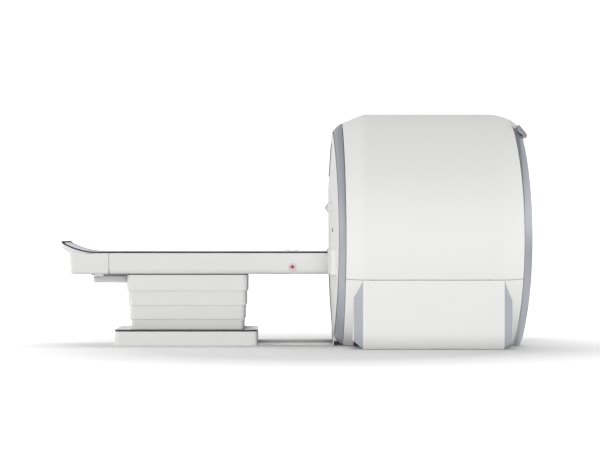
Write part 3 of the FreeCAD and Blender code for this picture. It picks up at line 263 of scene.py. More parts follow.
# look: (shared group, colour or the name of its setting, the group's settings, the shader's own settings)
LOOKS = {
    # The white covers get painted shade near the floor through foot
    "shell_white": ("moulded_skin", "shell", skin(420, 0.05, 0.02, 0.60, foot=0.27), MATT),
    "table_white": ("moulded_skin", "table", skin(700, 0.10, 0.025, 0.60), MATT),
    "bore_white": ("moulded_skin", "shell", skin(300, 0.02, 0.015, 0.22), {"Coat Weight": 0.3}),
    "accent_silver": ("metal_lacquer", "silver",
                      {"Flake scale": 1300.0, "Flake tone": 0.22, "Flake depth": 0.10, "Roughness": 0.30},
                      {"Metallic": 0.85, "Coat Weight": 0.10, "Coat Roughness": 0.25}),
    "trim_dark": ("moulded_skin", "trim", skin(1500, 0.25, 0.10, 0.55, 0.15), {}),
    "trim_gloss": ("moulded_skin", "trim", skin(1500, 0.02, 0.10, 0.30, 0.03),
                   {"Coat Weight": 1.0, "Coat Roughness": 0.20}),
    "collar_pale": ("moulded_skin", (0.74, 0.62, 0.63), skin(900, 0.05, 0.03, 0.30), {"Coat Weight": 0.3}),
    "pod_white": ("moulded_skin", (0.70, 0.70, 0.71), skin(1200, 0.10, 0.03, 0.40), {}),
    "board_pale": ("moulded_skin", "board", skin(900, 0.16, 0.04, 0.40), {"Coat Weight": 0.1}),
    "display_black": ("moulded_skin", "glass", skin(200, 0.0, 0.05, 0.07, 0.03),
                      {"Coat Weight": 0.8, "Coat Roughness": 0.03}),
    "control_grey": ("moulded_skin", (0.10, 0.105, 0.12), skin(1400, 0.22, 0.06, 0.45), {}),
    "button_grey": ("moulded_skin", (0.62, 0.63, 0.65), skin(1800, 0.15, 0.04, 0.38), {}),
    "stop_dark": ("moulded_skin", "stop", skin(900, 0.05, 0.08, 0.24), {"Coat Weight": 0.5}),
    "vessel_steel": ("moulded_skin", (0.55, 0.56, 0.57), skin(260, 0.30, 0.10, 0.45), {}),
    "frame_steel": ("moulded_skin", (0.09, 0.095, 0.10), skin(900, 0.45, 0.15, 0.55), {}),
    "coil_resin": ("moulded_skin", (0.36, 0.22, 0.08), skin(120, 0.35, 0.25, 0.40), {"Coat Weight": 0.2}),
    "column_alloy": ("drawn_metal", (0.62, 0.63, 0.64), drawn((220.0, 220.0, 3.0), 0.12, 0.28), METAL),
    "rail_alloy": ("drawn_metal", (0.60, 0.61, 0.62), drawn((3.0, 260.0, 260.0), 0.10, 0.25), METAL),
    "belt_rubber": ("drawn_metal", (0.025, 0.025, 0.026), drawn((900.0, 4.0, 4.0), 0.6, 0.6), {}),
}


def look(name):
    """A material with one Principled shader, whose colour, roughness and normal come from a shared group."""
    full_name = "look_" + name
    found = bpy.data.materials.get(full_name)
    if found:
        return found
    group_name, tint, settings, own = LOOKS[name]
    tint = getattr(colours(), tint) if isinstance(tint, str) else tint
    made = bpy.data.materials.new(full_name)
    made.use_nodes = True
    tree = made.node_tree
    shader = tree.nodes["Principled BSDF"]
    effect = tree.nodes.new("ShaderNodeGroup")
    effect.node_tree = bpy.data.node_groups.get(group_name) or GROUP_MAKERS[group_name]()
    effect.inputs["Colour"].default_value = (*tint, 1.0)
    for key, value in settings.items():
        effect.inputs[key].default_value = value
    for key, socket in (("Colour", "Base Color"), ("Roughness", "Roughness"), ("Normal", "Normal")):
        tree.links.new(effect.outputs[key], shader.inputs[socket])
    for key, value in {"Coat Roughness": 0.1, **own}.items():
        shader.inputs[key].default_value = value
    made.diffuse_color = (*tint, 1.0)
    return made


# ------------------------------------------------------------------ mesh helpers
def make(name, vertices, faces):
    """A linked object at the origin from arrays of vertices and faces."""
    mesh = bpy.data.meshes.new(name)
    mesh.from_pydata(np.asarray(vertices, float).tolist(), [], [tuple(f) for f in faces])
    mesh.validate()
    mesh.update()
    mesh.polygons.foreach_set("use_smooth", np.ones(len(mesh.polygons), bool))
    piece = bpy.data.objects.new(name, mesh)
    bpy.context.scene.collection.objects.link(piece)
    return piece


def grid_faces(rows, columns, wrap_rows=False, wrap_columns=False, flip=False, start=0):
    """The quads of a grid of points; either way may close on itself."""
    i = np.arange(rows if wrap_rows else rows - 1)
    j = np.arange(columns if wrap_columns else columns - 1)
    i, j = np.meshgrid(i, j, indexing="ij")
    i2, j2 = (i + 1) % rows, (j + 1) % columns
    near, far = i * columns, i2 * columns
    quads = np.stack([near + j, far + j, far + j2, near + j2], -1).reshape(-1, 4)
    return (quads[:, ::-1] if flip else quads) + start


def sheets(name, patches):
    """One object from grids of points; a patch is (points, flip, wrap_rows, wrap_columns)."""
    vertices, faces, start = [], [], 0
    for points, flip, wrap_rows, wrap_columns in patches:
        rows, columns = points.shape[:2]
        vertices.append(points.reshape(-1, 3))
        faces.append(grid_faces(rows, columns, wrap_rows, wrap_columns, flip, start))
        start += rows * columns
    return make(name, np.concatenate(vertices), np.concatenate(faces))


def thicken(piece, wall, edge=None, segments=3, even=True):
    """A wall behind the sheet's face, with its edges rounded."""
    solid = piece.modifiers.new("wall", "SOLIDIFY")
    solid.thickness = wall
    solid.offset = -1.0
    solid.use_even_offset = even
    soften(piece, edge or sizes().edge, segments)
    return piece


def soften(piece, edge, segments=3, angle=32.0):
    """Rounds the sharp edges and keeps the flats flat."""
    bevel = piece.modifiers.new("edges", "BEVEL")
    bevel.width = edge
    bevel.segments = segments
    bevel.limit_method = "ANGLE"
    bevel.angle_limit = math.radians(angle)
    bevel.harden_normals = True
    return piece


def settle(piece):
    """Applies the modifiers, so that the mesh is final."""
    graph = bpy.context.evaluated_depsgraph_get()
    final = bpy.data.meshes.new_from_object(piece.evaluated_get(graph), depsgraph=graph)
    old = piece.data
    piece.modifiers.clear()
    piece.data = final
    final.name = piece.name
    bpy.data.meshes.remove(old)
    return piece


def carve(piece, tools):
    """Cuts closed tool solids out of a piece and throws the tools away."""
    for tool in tools:
        bite = piece.modifiers.new("bite", "BOOLEAN")
        bite.operation = "DIFFERENCE"
        bite.solver = "EXACT"
        bite.object = tool
    settle(piece)
    for tool in tools:
        bpy.data.objects.remove(tool)
    return piece


def box_tool(low, high):
    """A plain closed box, only used to cut with."""
    corners = list(itertools.product(*zip(low, high)))
    faces = [(0, 1, 3, 2), (4, 6, 7, 5), (0, 4, 5, 1), (2, 3, 7, 6), (0, 2, 6, 4), (1, 5, 7, 3)]
    return make("cutter", corners, faces)


def weld(piece, reach=1e-6, outward=True):
    """Merges vertices that lie within reach, and turns the faces of a closed mesh outwards."""
    mesh = bmesh.new()
    mesh.from_mesh(piece.data)
    bmesh.ops.remove_doubles(mesh, verts=mesh.verts, dist=reach)
    if outward:
        bmesh.ops.recalc_face_normals(mesh, faces=mesh.faces)
    mesh.to_mesh(piece.data)
    mesh.free()
    piece.data.polygons.foreach_set("use_smooth", np.ones(len(piece.data.polygons), bool))
    return piece


def tube(name, rings):
    """A closed body through rings of points, an array of (ring, point, 3), with both ends filled."""
    rows, count = rings.shape[:2]
    faces = [tuple(f) for f in grid_faces(rows, count, wrap_columns=True)]
    faces += [tuple(range(count)), tuple(range(rows * count - 1, (rows - 1) * count - 1, -1))]
    return weld(make(name, rings.reshape(-1, 3), faces))


def dress(piece, body, slot, *nodes, named=None):
    """Gives a finished piece its body and look, and hides the frame nodes that it stands for.

    The look has the slot's name unless another is named.
    """
    piece.data.materials.clear()
    piece.data.materials.append(look(named or slot))
    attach(piece, body)
    if nodes:
        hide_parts(*nodes)
    return piece


def arc(centre, radius, start, end, count):
    """Points on a circle between two angles in degrees."""
    angle = np.radians(np.linspace(start, end, count))
    return np.stack([centre[0] + radius * np.cos(angle), centre[1] + radius * np.sin(angle)], 1)


def round_outline(low, high, radius, count=10):
    """A rectangle with round corners, anticlockwise."""
    (x0, y0), (x1, y1) = low, high
    left, right, bottom, top = x0 + radius, x1 - radius, y0 + radius, y1 - radius
    centres = (right, top), (left, top), (left, bottom), (right, bottom)
    return np.concatenate([arc(centre, radius, 90 * i, 90 * i + 90, count)
                           for i, centre in enumerate(centres)])


def round_corners(corners, radius, count=6):
    """A closed outline whose corners are replaced by arcs of one radius, as large as the sides allow."""
    corners = np.asarray(corners, float)
    out = []
    for i, corner in enumerate(corners):
        back, ahead = corners[i - 1] - corner, corners[(i + 1) % len(corners)] - corner
        lb, la = np.linalg.norm(back), np.linalg.norm(ahead)
        turn = math.acos(np.clip(back @ ahead / (lb * la), -1, 1))
        cut = min(radius / math.tan(turn / 2), lb * 0.45, la * 0.45)
        a, b = corner + back / lb * cut, corner + ahead / la * cut
        t = np.linspace(0, 1, count)[:, None]
        out.append((1 - t) ** 2 * a + 2 * t * (1 - t) * corner + t ** 2 * b)
    return np.concatenate(out)


def extrude(name, outline, low, high, axis):
    """A closed outline in two axes carried along the third, with flat ends."""
    outline = np.asarray(outline, float)
    count = len(outline)
    points = np.zeros((2, count, 3))
    points[:, :, [i for i in range(3) if i != axis]] = outline
    points[:, :, axis] = [[low], [high]]
    return tube(name, points)


def slab(name, low, high, corner, count=8, drop=0.0):
    """An upright block with round corners in plan, between two corners of a box; drop lowers its top."""
    outline = round_outline((low.x, low.y), (high.x, high.y), corner, count)
    return extrude(name, outline, low.z, high.z - drop, 2)


def once(side, node):
    """What the left piece of a pair replaces; the right one replaces nothing."""
    return [node] if side > 0 else []


def lathe(name, profile, centre, axis, steps=64):
    """A closed body turned about a line along one axis; the profile is (along, radius) from pole to pole."""
    profile = np.asarray(profile, float)
    angle = np.linspace(0, 2 * math.pi, steps, endpoint=False)
    others = [i for i in range(3) if i != axis]
    points = np.zeros((len(profile), steps, 3))
    points[:, :, axis] = profile[:, :1] + centre[axis]
    points[:, :, others[0]] = profile[:, 1:] * np.cos(angle) + centre[others[0]]
    points[:, :, others[1]] = profile[:, 1:] * np.sin(angle) + centre[others[1]]
    piece = make(name, points.reshape(-1, 3), grid_faces(len(profile), steps, wrap_columns=True))
    return weld(piece)


# ------------------------------------------------------------------ the drum's surface
def drum_radius(x):
    """Radius along the bore: a round-nosed ring, a straight flank, a blend, the barrel, then a round tail."""
    s = sizes()
    x = np.asarray(x, float)
    shell = FRONT + s.ring_width
    barrel = shell + s.shoulder
    tail = barrel + s.barrel
    band = tail + s.tail
    blend, bulge, tail_bow = 0.200, 0.250, 0.500
    slope, slope_sine, slope_drop = 0.4199, 0.3875, 0.0781
    nose_reach, nose_drop = 0.096, 0.175
    crown_length, crown_fall, crown_bow = 0.079, 0.1159, 0.016

    def bowed(middle, bow):
        """Radius where the surface bows in from the drum's largest radius, which it has at the middle."""
        return DRUM - bow + np.sqrt(np.maximum(bow ** 2 - (x - middle) ** 2, 0))
    flank_end = barrel - blend * slope_sine
    flank = DRUM - blend * slope_drop + (x - flank_end) * slope
    start = DRUM - blend * slope_drop + (shell - flank_end) * slope
    nose_chord = np.array([nose_reach, start - (DRUM - nose_drop)])
    half = np.linalg.norm(nose_chord) / 2
    normal = np.array([nose_chord[1], -nose_chord[0]]) / (2 * half)
    nose = np.array([shell, start]) - nose_chord / 2 + normal * math.sqrt(bulge ** 2 - half ** 2)
    radius = np.where(x < shell, nose[1] + np.sqrt(np.maximum(bulge ** 2 - (x - nose[0]) ** 2, 0)), flank)
    radius = np.where(x > flank_end, bowed(barrel, blend), radius)
    radius = np.where(x > barrel, DRUM, radius)
    radius = np.where(x > tail, bowed(tail, tail_bow), radius)
    drop = DRUM - tail_bow + math.sqrt(tail_bow ** 2 - s.tail ** 2)
    t = (x - band) / crown_length
    return np.where(x > band, drop - crown_fall * t + crown_bow * t * (1 - t), radius)


def dome(y, z):
    """X of the fascia, which bows in plan and from the side."""
    s = sizes()
    return FRONT + y ** 2 / (2 * s.plan_bow) + (z - AXIS) ** 2 / (2 * s.side_bow)


def ring_seam(y):
    return FRONT + sizes().ring_width + y ** 2 / (2 * sizes().ring_bow)


def rear_face(place, z):
    return place - (z - AXIS) ** 2 / (2 * sizes().rear_bow)


def seam_level(x):
    """Height of the seam between upper and lower covers: level, and rising a little next to the two bands."""
    start = FRONT + sizes().ring_width
    end = BAND_START
    near = np.clip(1 - (x - start) / 0.16, 0, 1) ** 2 + np.clip(1 - (end - x) / 0.20, 0, 1) ** 2
    return SEAM + 0.010 * near


def drum_patch(front_edge, rear_edge, top, bottom, side, rows=72, columns=72):
    """A patch of the drum between two edges along the bore and two heights, given as functions.

    front_edge and rear_edge take (y, z); top and bottom take x. side is +1 for the left and -1 for the right.
    """
    a = np.linspace(0, 1, rows)[:, None]
    t = np.linspace(0, 1, columns)[None, :]

    def around(x):
        """Y and Z of the points on the drum at x, spread evenly in angle from top to bottom."""
        radius = drum_radius(x)
        high = np.arccos(np.clip((top(x) - AXIS) / radius, -1, 1))
        low = np.arccos(np.clip((bottom(x) - AXIS) / radius, -1, 1))
        angle = high + (low - high) * t
        return radius * np.sin(angle), AXIS + radius * np.cos(angle)
    x = np.full((rows, columns), FRONT + 1.0)
    for _ in range(12):
        y, z = around(x)
        start, end = front_edge(y, z), rear_edge(y, z)
        x = start + (end - start) * a
    y, z = around(x)
    return np.stack([x, side * y, z], -1)


def crown(x):
    """The very top of the drum, less half the seam between the two upper covers."""
    radius = drum_radius(x)
    return AXIS + np.sqrt(radius ** 2 - (sizes().seam / 2) ** 2)


def floor_line(x):
    return np.full_like(np.asarray(x, float), FLOOR_GAP)


def at(place):
    """An edge for drum_patch that keeps one place along the bore."""
    return lambda y, z: 0 * y + place


# ------------------------------------------------------------------ scanner covers
def build_upper_shells():
    s = sizes()
    gap = s.seam / 2
    for side, name in SIDES:
        patch = drum_patch(
            lambda y, z: ring_seam(y) + gap,
            lambda y, z: rear_face(BAND_START, z) - gap,
            crown, lambda x: seam_level(x) + gap, side, rows=120, columns=90)
        piece = sheets("upper_cover_" + name, [(patch, side < 0, False, False)])
        thicken(piece, s.wall)
        dress(piece, "root", "shell_white", "upper_shell_" + name)


def face_line(x):
    """Half width of the lower covers' flat face: flush with the drum at the seam."""
    return np.sqrt(drum_radius(x) ** 2 - (AXIS - SEAM) ** 2)


def tuck(z):
    """How far the lower covers' foot is tucked under at a height."""
    roll = sizes().toe_roll
    t = np.clip((roll - z) / roll, 0, 1)
    return 0.040 * (1 - np.sqrt(1 - (t * 0.92) ** 2)) / (1 - math.sqrt(1 - 0.92 ** 2))


def toe_level(y, half):
    """Height of the lower covers' bottom edge, which lifts where the corners are cut."""
    s = sizes()
    t = np.clip((half - y) / s.chamfer_deep, 0, 1)
    return FLOOR_GAP + s.toe_lift * t


def lower_box():
    """Front and rear ends of the flat-sided lower covers."""
    front = side_of("corner_trims", 0, "x")
    return front, side_of("corner_trims", 1, "x")


def build_skirts():
    s = sizes()
    gap = s.seam / 2
    front, rear = lower_box()
    run, deep = s.chamfer_run, s.chamfer_deep
    levels = np.linspace(0, 1, 60)[None, :]
    overlap, inset = 0.006, 0.01

    def seam_below(x):
        return seam_level(x) - gap
    for side, name in SIDES:
        patches = []
        for end, inner, direction in ((front, front + run, 1), (rear, rear - run, -1)):
            half_inner = float(face_line(inner)) - deep
            if direction > 0:
                start, stop = (lambda y, z: ring_seam(y) + gap), at(end + overlap)
            else:
                start, stop = at(end - overlap), (lambda y, z: rear_face(BAND_START, z) - gap)
            patches.append((drum_patch(start, stop, seam_below, floor_line, side, 24, 60),
                            side < 0, False, False))

            def cut_line(x):
                """Where the cut corner's plane meets the drum."""
                y = half_inner + deep * np.clip((x - end) * direction / run, 0, 1)
                level = AXIS - np.sqrt(np.maximum(drum_radius(x) ** 2 - y ** 2, 0))
                return np.minimum(level, seam_below(x))
            low_x, high_x = sorted((end, inner))
            patches.append((drum_patch(at(low_x), at(high_x), seam_below, cut_line, side, 30, 16),
                            side < 0, False, False))
            radius = float(drum_radius(end))
            top = AXIS - math.sqrt(radius ** 2 - half_inner ** 2)
            z = FLOOR_GAP + s.toe_lift + (top - FLOOR_GAP - s.toe_lift) * levels.T
            inner_y = np.sqrt(radius ** 2 - (AXIS - z) ** 2) - inset
            outer_y = half_inner - tuck(z)
            t = np.linspace(0, 1, 12)[None, :]
            y = inner_y + (np.maximum(outer_y, inner_y) - inner_y) * t
            wall = np.stack([np.full_like(y, end), side * y, z + 0 * y], -1)
            patches.append((wall, (side * direction) > 0, False, False))
        x = np.linspace(front + run, rear - run, 120)[:, None]
        z = FLOOR_GAP + (SEAM - gap - FLOOR_GAP) * levels
        y = face_line(x) - tuck(z)
        face = np.stack([x + 0 * z, side * y, z + 0 * x], -1)
        patches.append((face, side > 0, False, False))
        piece = sheets("lower_cover_" + name, patches)
        thicken(piece, s.wall)
        dress(piece, "root", "shell_white", "skirt_" + name)


def build_corner_trims():
    s = sizes()
    front, rear = lower_box()
    patches = []
    for side in (1, -1):
        for end, direction in ((front, 1), (rear, -1)):
            outer_x = end + direction * s.chamfer_run
            half = float(face_line(outer_x))
            t = np.linspace(0, 1, 24)[:, None]
            x = outer_x - direction * s.chamfer_run * t
            y = half - s.chamfer_deep * t
            top = np.minimum(AXIS - np.sqrt(np.maximum(drum_radius(x) ** 2 - y ** 2, 0)), SEAM - s.seam / 2)
            low = toe_level(y, half)
            z = low + (top - low) * np.linspace(0, 1, 60)[None, :]
            shift = tuck(z)
            points = np.stack([x + 0 * z, side * (y - shift), z], -1)
            patches.append((points, side * direction < 0, False, False))
    piece = sheets("corner_facets", patches)
    thicken(piece, s.wall, edge=0.003)
    dress(piece, "root", "accent_silver", "corner_trims")


def build_bands():
    """The silver ring at the front and the silver band at the back."""
    s = sizes()
    gap = s.seam / 2
    ring, band = [], []
    channel = side_of("dock_channel", 1, "y") + 0.0005

    def top(x):
        return AXIS + drum_radius(x)

    def beside_channel(x):
        return AXIS - np.sqrt(drum_radius(x) ** 2 - channel ** 2)
    for side in (1, -1):
        ring.append((drum_patch(lambda y, z: dome(y, z) + 0.001, lambda y, z: ring_seam(y) - gap,
                                top, beside_channel, side, 26, 110), side < 0, False, False))
        band.append((drum_patch(lambda y, z: rear_face(BAND_START, z) + gap, lambda y, z: rear_face(BACK, z),
                                top, floor_line, side, 22, 110), side < 0, False, False))
    rail = AXIS + DRUM - RAIL_DROP
    above = ((BACK - 0.5, -2, rail), (BACK + 0.2, 2, AXIS + DRUM + 0.1))
    below = ((BACK - 0.9, -2, -1), (BACK + 0.2, 2, rail + 0.001))
    for name, patches, cut, nodes, named in (("front_band", ring, None, ["front_ring"], None),
                                             ("rear_band", band, above, ["rear_ring"], None),
                                             ("rear_crown", band, below, [], "shell_white")):
        piece = weld(sheets(name, patches), 1e-5, False)
        thicken(piece, s.wall, edge=FACE_EDGE)
        if cut:
            carve(settle(piece), [box_tool(*cut)])
        dress(piece, "root", "accent_silver", *nodes, named=named)


FUNNEL = 0.215


def funnel_profile(count=26):
    """Radius and depth of the bore's mouth: a round lip, then a long taper down to the liner."""
    s = sizes()
    t = np.linspace(0, 1, count)
    return s.bore + (s.mouth - s.bore) * (1 - t) ** 1.55, FUNNEL * t ** 1.7


def face_grid(angle, place, funnel_end, direction):
    """Points of an end face: from inside the band's edge in to the mouth, then down the funnel.

    place takes (y, z) and gives X of the face; direction is +1 where the funnel runs towards +X.
    """
    s = sizes()
    edge = np.full_like(angle, DRUM - 0.15)
    for _ in range(12):
        edge = drum_radius(place(edge * np.sin(angle), AXIS + edge * np.cos(angle))) - s.wall - FACE_EDGE
    t = np.linspace(1, 0, 40)[:, None]
    flat = s.mouth + 0.004 + (edge - s.mouth - 0.004) * t
    radius, depth = funnel_profile()
    radius = np.concatenate([flat, radius[:, None] + 0 * angle])
    share = np.concatenate([np.zeros(40), depth / FUNNEL])[:, None]
    y, z = radius * np.sin(angle), AXIS + radius * np.cos(angle)
    x = place(y, z) * (1 - share) + funnel_end * share + direction * FUNNEL * share
    return np.stack([x, y, z], -1)


def build_fascia():
    """The front face: the dome out to the ring, and the funnel into the bore."""
    s = sizes()
    angle = np.linspace(0, 2 * math.pi, 192, endpoint=False)[None, :]
    piece = sheets("front_fascia_cover", [(face_grid(angle, dome, FRONT + 0.008, 1), False, False, True)])
    thicken(piece, s.wall, edge=FACE_EDGE)
    settle(piece)
    channel = side_of("dock_channel", 1, "y") - 0.006
    top = side_of("dock_channel", 1, "z")
    deep = side_of("dock_channel", 1, "x") - 0.006
    carve(piece, [box_tool((FRONT - 0.3, -2, -1), (FRONT + 0.6, 2, FLOOR_GAP)),
                  box_tool((FRONT - 0.3, -channel, -0.5), (deep, channel, top))])
    dress(piece, "root", "shell_white", "front_fascia")


def build_rear_cover():
    """The back: a face that curves from top to bottom, with the bore's rear funnel."""
    s = sizes()
    angle = np.linspace(0, 2 * math.pi, 192, endpoint=False)[None, :]
    points = face_grid(angle, lambda y, z: rear_face(BACK - 0.004, z), BACK - 0.012, -1)
    piece = sheets("rear_face_cover", [(points, True, False, True)])
    thicken(piece, s.wall, edge=0.003)
    carve(settle(piece), [box_tool((BACK - 0.6, -2, -1), (BACK + 0.3, 2, FLOOR_GAP))])
    dress(piece, "root", "shell_white", "rear_cover")


def build_rear_rail():
    """The sloping grab rail across the top of the back."""
    top = AXIS + DRUM
    section = round_corners([
        (BACK - 0.082, top - 0.108), (BACK - 0.001, top - 0.206), (BACK - 0.004, top - 0.243),
        (BACK - 0.091, top - 0.178)], 0.009)
    half = side_of("rear_top_rail", 1, "y")
    piece = extrude("rear_rail", section, -half, half, 1)
    soften(piece, 0.006)
    dress(piece, "root", "accent_silver", "rear_top_rail")


def build_bore():
    """The glossy liner, seen from inside, and the bridge that carries the board through it."""
    s = sizes()
    x = np.array([side_of("bore_liner", 0, "x"), side_of("bore_liner", 1, "x")])
    x = np.linspace(x[0] - 0.006, x[1] + 0.006, 40)[:, None]
    angle = np.linspace(0, 2 * math.pi, 192, endpoint=False)[None, :]
    points = np.stack([x + 0 * angle, s.bore * np.sin(angle) + 0 * x,
                       AXIS + s.bore * np.cos(angle) + 0 * x], -1)
    piece = sheets("bore_lining", [(points, False, False, True)])
    thicken(piece, 0.0038)
    dress(piece, "root", "bore_white", "bore_liner")
    low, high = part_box("bore_bridge")
    half, top, deck, web = high.y, high.z, 0.008, 0.200
    groove, groove_out, groove_in = 0.004, 0.222, 0.178
    under, floor = top - deck, top - groove
    outline = [
        (-half, top), (-half, under), (-web, under), (-web, low.z),
        (-web + deck, low.z), (-web + deck, under), (web - deck, under), (web - deck, low.z),
        (web, low.z), (web, under), (half, under), (half, top),
        (groove_out, top), (groove_out, floor), (groove_in, floor), (groove_in, top),
        (-groove_in, top), (-groove_in, floor), (-groove_out, floor), (-groove_out, top)]
    piece = extrude("bore_deck", outline, low.x, high.x, 0)
    soften(piece, 0.0012, segments=2)
    dress(piece, "root", "bore_white", "bore_bridge")


# ------------------------------------------------------------------ front details
def build_yokes():
    """Two broad lobes either side of the table's nose."""
    low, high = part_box("docking_yokes")
    near = side_of("dock_channel", 1, "y") + 0.001
    face = low.x
    for side, name in SIDES:
        outline = round_corners([
            (face, side * near), (face + 0.030, side * high.y), (FRONT + 0.115, side * high.y),
            (FRONT + 0.115, side * near)], 0.022)
        piece = extrude("yoke_" + name, outline, low.z, high.z, 2)
        soften(piece, 0.016, segments=5)
        dress(piece, "root", "shell_white", *once(side, "docking_yokes"))


def build_channel():
    """The recess below the bore that the table's nose docks into: two side walls and a back wall."""
    low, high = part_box("dock_channel")
    wall, half = 0.006, high.y - 0.006
    z = np.linspace(low.z, high.z, 60)[:, None]
    front = np.minimum(dome(half, z) + 0.004, high.x - wall - 0.010)
    t = np.linspace(0, 1, 5)[None, :]
    side_x = front + (high.x - wall - front) * t
    left = np.stack([side_x, half + 0 * side_x, z + 0 * t], -1)
    right = left[:, ::-1] * [1, -1, 1]
    across = np.linspace(half, -half, 25)[None, 1:-1]
    back = np.stack([high.x - wall + 0 * (z + across), 0 * z + across, z + 0 * across], -1)
    piece = sheets("dock_recess", [(np.concatenate([left, back, right], 1), False, False, False)])
    thicken(piece, wall, even=False)
    radius, depth = funnel_profile(12)
    steps = [(-0.02, 0.0), (-0.02, radius[0]), *zip(depth + 0.008, radius + 0.004), (FUNNEL + 0.008, 0.0)]
    carve(settle(piece), [lathe("cutter", steps, (FRONT, 0, AXIS), 0, 128)])
    dress(piece, "root", "shell_white", "dock_channel")


def dome_slab(name, low, high, radius, proud, thick):
    """A round-cornered slab that follows the fascia's bow and stands proud of it."""
    outline = round_outline(low, high, radius, 12)
    centre = outline.mean(0)
    rings = np.linspace(1, 0, 14)[:, None, None]
    flat = centre + (outline[None] - centre) * rings
    y, z = flat[..., 0], flat[..., 1]
    x = dome(y, z) - proud
    piece = sheets(name, [(np.stack([x, y, z], -1), False, False, True)])
    weld(piece, 1e-5, False)
    thicken(piece, thick, edge=min(0.004, thick * 0.4), segments=4)
    return piece


def build_display():
    low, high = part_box("display_bezel")
    piece = dome_slab("display_frame", (low.y, low.z), (high.y, high.z), 0.030, 0.010, 0.012)
    dress(piece, "root", "control_grey", "display_bezel")
    rim = 0.016
    piece = dome_slab("display_panel", (low.y + rim, low.z + rim), (high.y - rim, high.z - rim),
                      0.018, 0.0122, 0.004)
    dress(piece, "root", "display_black", "display_glass")


def knob_profile(radius, front, back, dish=0.0):
    """A turned knob from its face to its back, with a rounded shoulder and a slightly dished face."""
    r = min(radius * 0.25, 0.003)
    face = [(front + dish, 0.0), (front + dish * 0.4, radius * 0.55), (front, radius - r)]
    shoulder = [(front + r * (1 - math.cos(a)), radius - r + r * math.sin(a))
                for a in np.linspace(0.3, math.pi / 2, 6)]
    return face + shoulder + [(back, radius), (back, 0.0)]


def knob_place(node):
    """Corners, centre and radius of a round control that faces along the bore."""
    low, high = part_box(node)
    return low, high, (low + high) / 2, (high.y - low.y) / 2


def build_controls():
    """The two control pods, each with a knurled dial and a round key in pockets of their own."""
    notches, notch_radius, notch_depth = 18, 0.0014, 0.0095
    dial_pocket, key_clearance, pocket_gap, pod_margin = 0.0085, 0.0065, 0.0008, 0.012
    for side, name in SIDES:
        low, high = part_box("control_pods")
        outer = high.y
        inner = side_of("dial_left", 0, "y") if side > 0 else side_of("button_right", 1, "y")
        inner = abs(inner) - pod_margin
        outline = round_corners([(low.x, side * inner), (low.x, side * outer), (FRONT + 0.05, side * outer),
                                 (FRONT + 0.05, side * inner)], 0.010)
        piece = extrude("control_pod_" + name, outline, low.z, high.z, 2)
        soften(piece, 0.008, segments=4)
        settle(piece)
        cutters = []
        for node in ("dial_" + name, "button_" + name):
            _, back, centre, reach = knob_place(node)
            reach = reach + pocket_gap
            deep = back.x - low.x + key_clearance if node.startswith("button") else dial_pocket
            cutters.append(lathe("cutter", [(-0.05, 0), (-0.05, reach), (deep, reach), (deep, 0)],
                                 (low.x, centre.y, centre.z), 0, 64))
        carve(piece, cutters)
        dress(piece, "root", "control_grey", *once(side, "control_pods"), named="pod_white")
        for kind, body, label in (("dial_", "jog_", "jog_dial_"), ("button_", "key_", "key_cap_")):
            front, back, centre, radius = knob_place(kind + name)
            profile = knob_profile(radius, front.x, back.x, 0.0015)
            piece = lathe(label + name, profile, (0, centre.y, centre.z), 0, 64)
            if kind == "dial_":
                notch = [(-0.01, 0), (-0.01, notch_radius), (notch_depth, notch_radius), (notch_depth, 0)]
                rim = radius * 1.02
                turns = [k * 2 * math.pi / notches for k in range(notches)]
                spots = [(front.x, centre.y + rim * math.cos(turn), centre.z + rim * math.sin(turn))
                         for turn in turns]
                carve(piece, [lathe("cutter", notch, spot, 0, 10) for spot in spots])
            soften(piece, 0.0004, segments=2)
            dress(piece, body + name, "button_grey", kind + name)


def build_ports():
    """The round sockets and slim slots on the fascia beside the bore."""
    low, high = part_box("coil_jacks")
    radius = (high.z - low.z) / 2
    for side, name in SIDES:
        centre = (0, side * (high.y - radius), (low.z + high.z) / 2)
        profile = [(low.x + 0.006, 0.0), (low.x + 0.006, radius * 0.62), (low.x + 0.001, radius * 0.68),
                   (low.x, radius * 0.75), (low.x, radius * 0.92), (low.x + 0.0015, radius),
                   (high.x, radius), (high.x, 0)]
        piece = lathe("coil_jack_" + name, profile, centre, 0, 64)
        soften(piece, 0.0006, segments=2)
        dress(piece, "root", "control_grey", *once(side, "coil_jacks"))
        slot_low, slot_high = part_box("side_slots")
        inner = abs(centre[1]) - 0.095
        outline = round_outline((inner, slot_low.z), (slot_high.y, slot_high.z), 0.0048, 8)
        y, z = outline[:, 0] * side, outline[:, 1]
        front = np.stack([dome(y, z) - 0.004, y, z], -1)
        back = np.stack([dome(y, z) + 0.012, y, z], -1)
        piece = tube("slot_trim_" + name, np.stack([front, back]))
        soften(piece, 0.001, segments=2)
        dress(piece, "root", "trim_dark", *once(side, "side_slots"))


# ------------------------------------------------------------------ patient table
def cover_section(side):
    """Section of a side cover: upright wall, rolled lower edge, ledge beside the board, inner trough wall."""
    half, inner = TABLE_HALF, TROUGH
    top, bottom = TABLE_TOP - 0.0035, BOARD_LOW - 0.006
    roll, wall, lap, ledge, ease, rim = COVER_ROLL, 0.005, 0.085, 0.018, 0.006, 0.021
    centre = (half - roll, COVER_LOW + roll)
    points = np.concatenate([
        [(half, TABLE_TOP - RIM_DEEP)], arc(centre, roll, 0, -90, 14),
        [(half - lap, COVER_LOW), (half - lap, COVER_LOW + wall), (half - roll, COVER_LOW + wall)],
        arc(centre, roll - wall, -90, 0, 14),
        [(half - wall, TABLE_TOP - ledge), (inner + wall, TABLE_TOP - ledge), (inner + wall, bottom),
         (inner, bottom), (inner, top - ease), (inner + ease, top), (half - rim, top),
         (half - rim, TABLE_TOP - RIM_DEEP)]])
    return points * [side, 1]


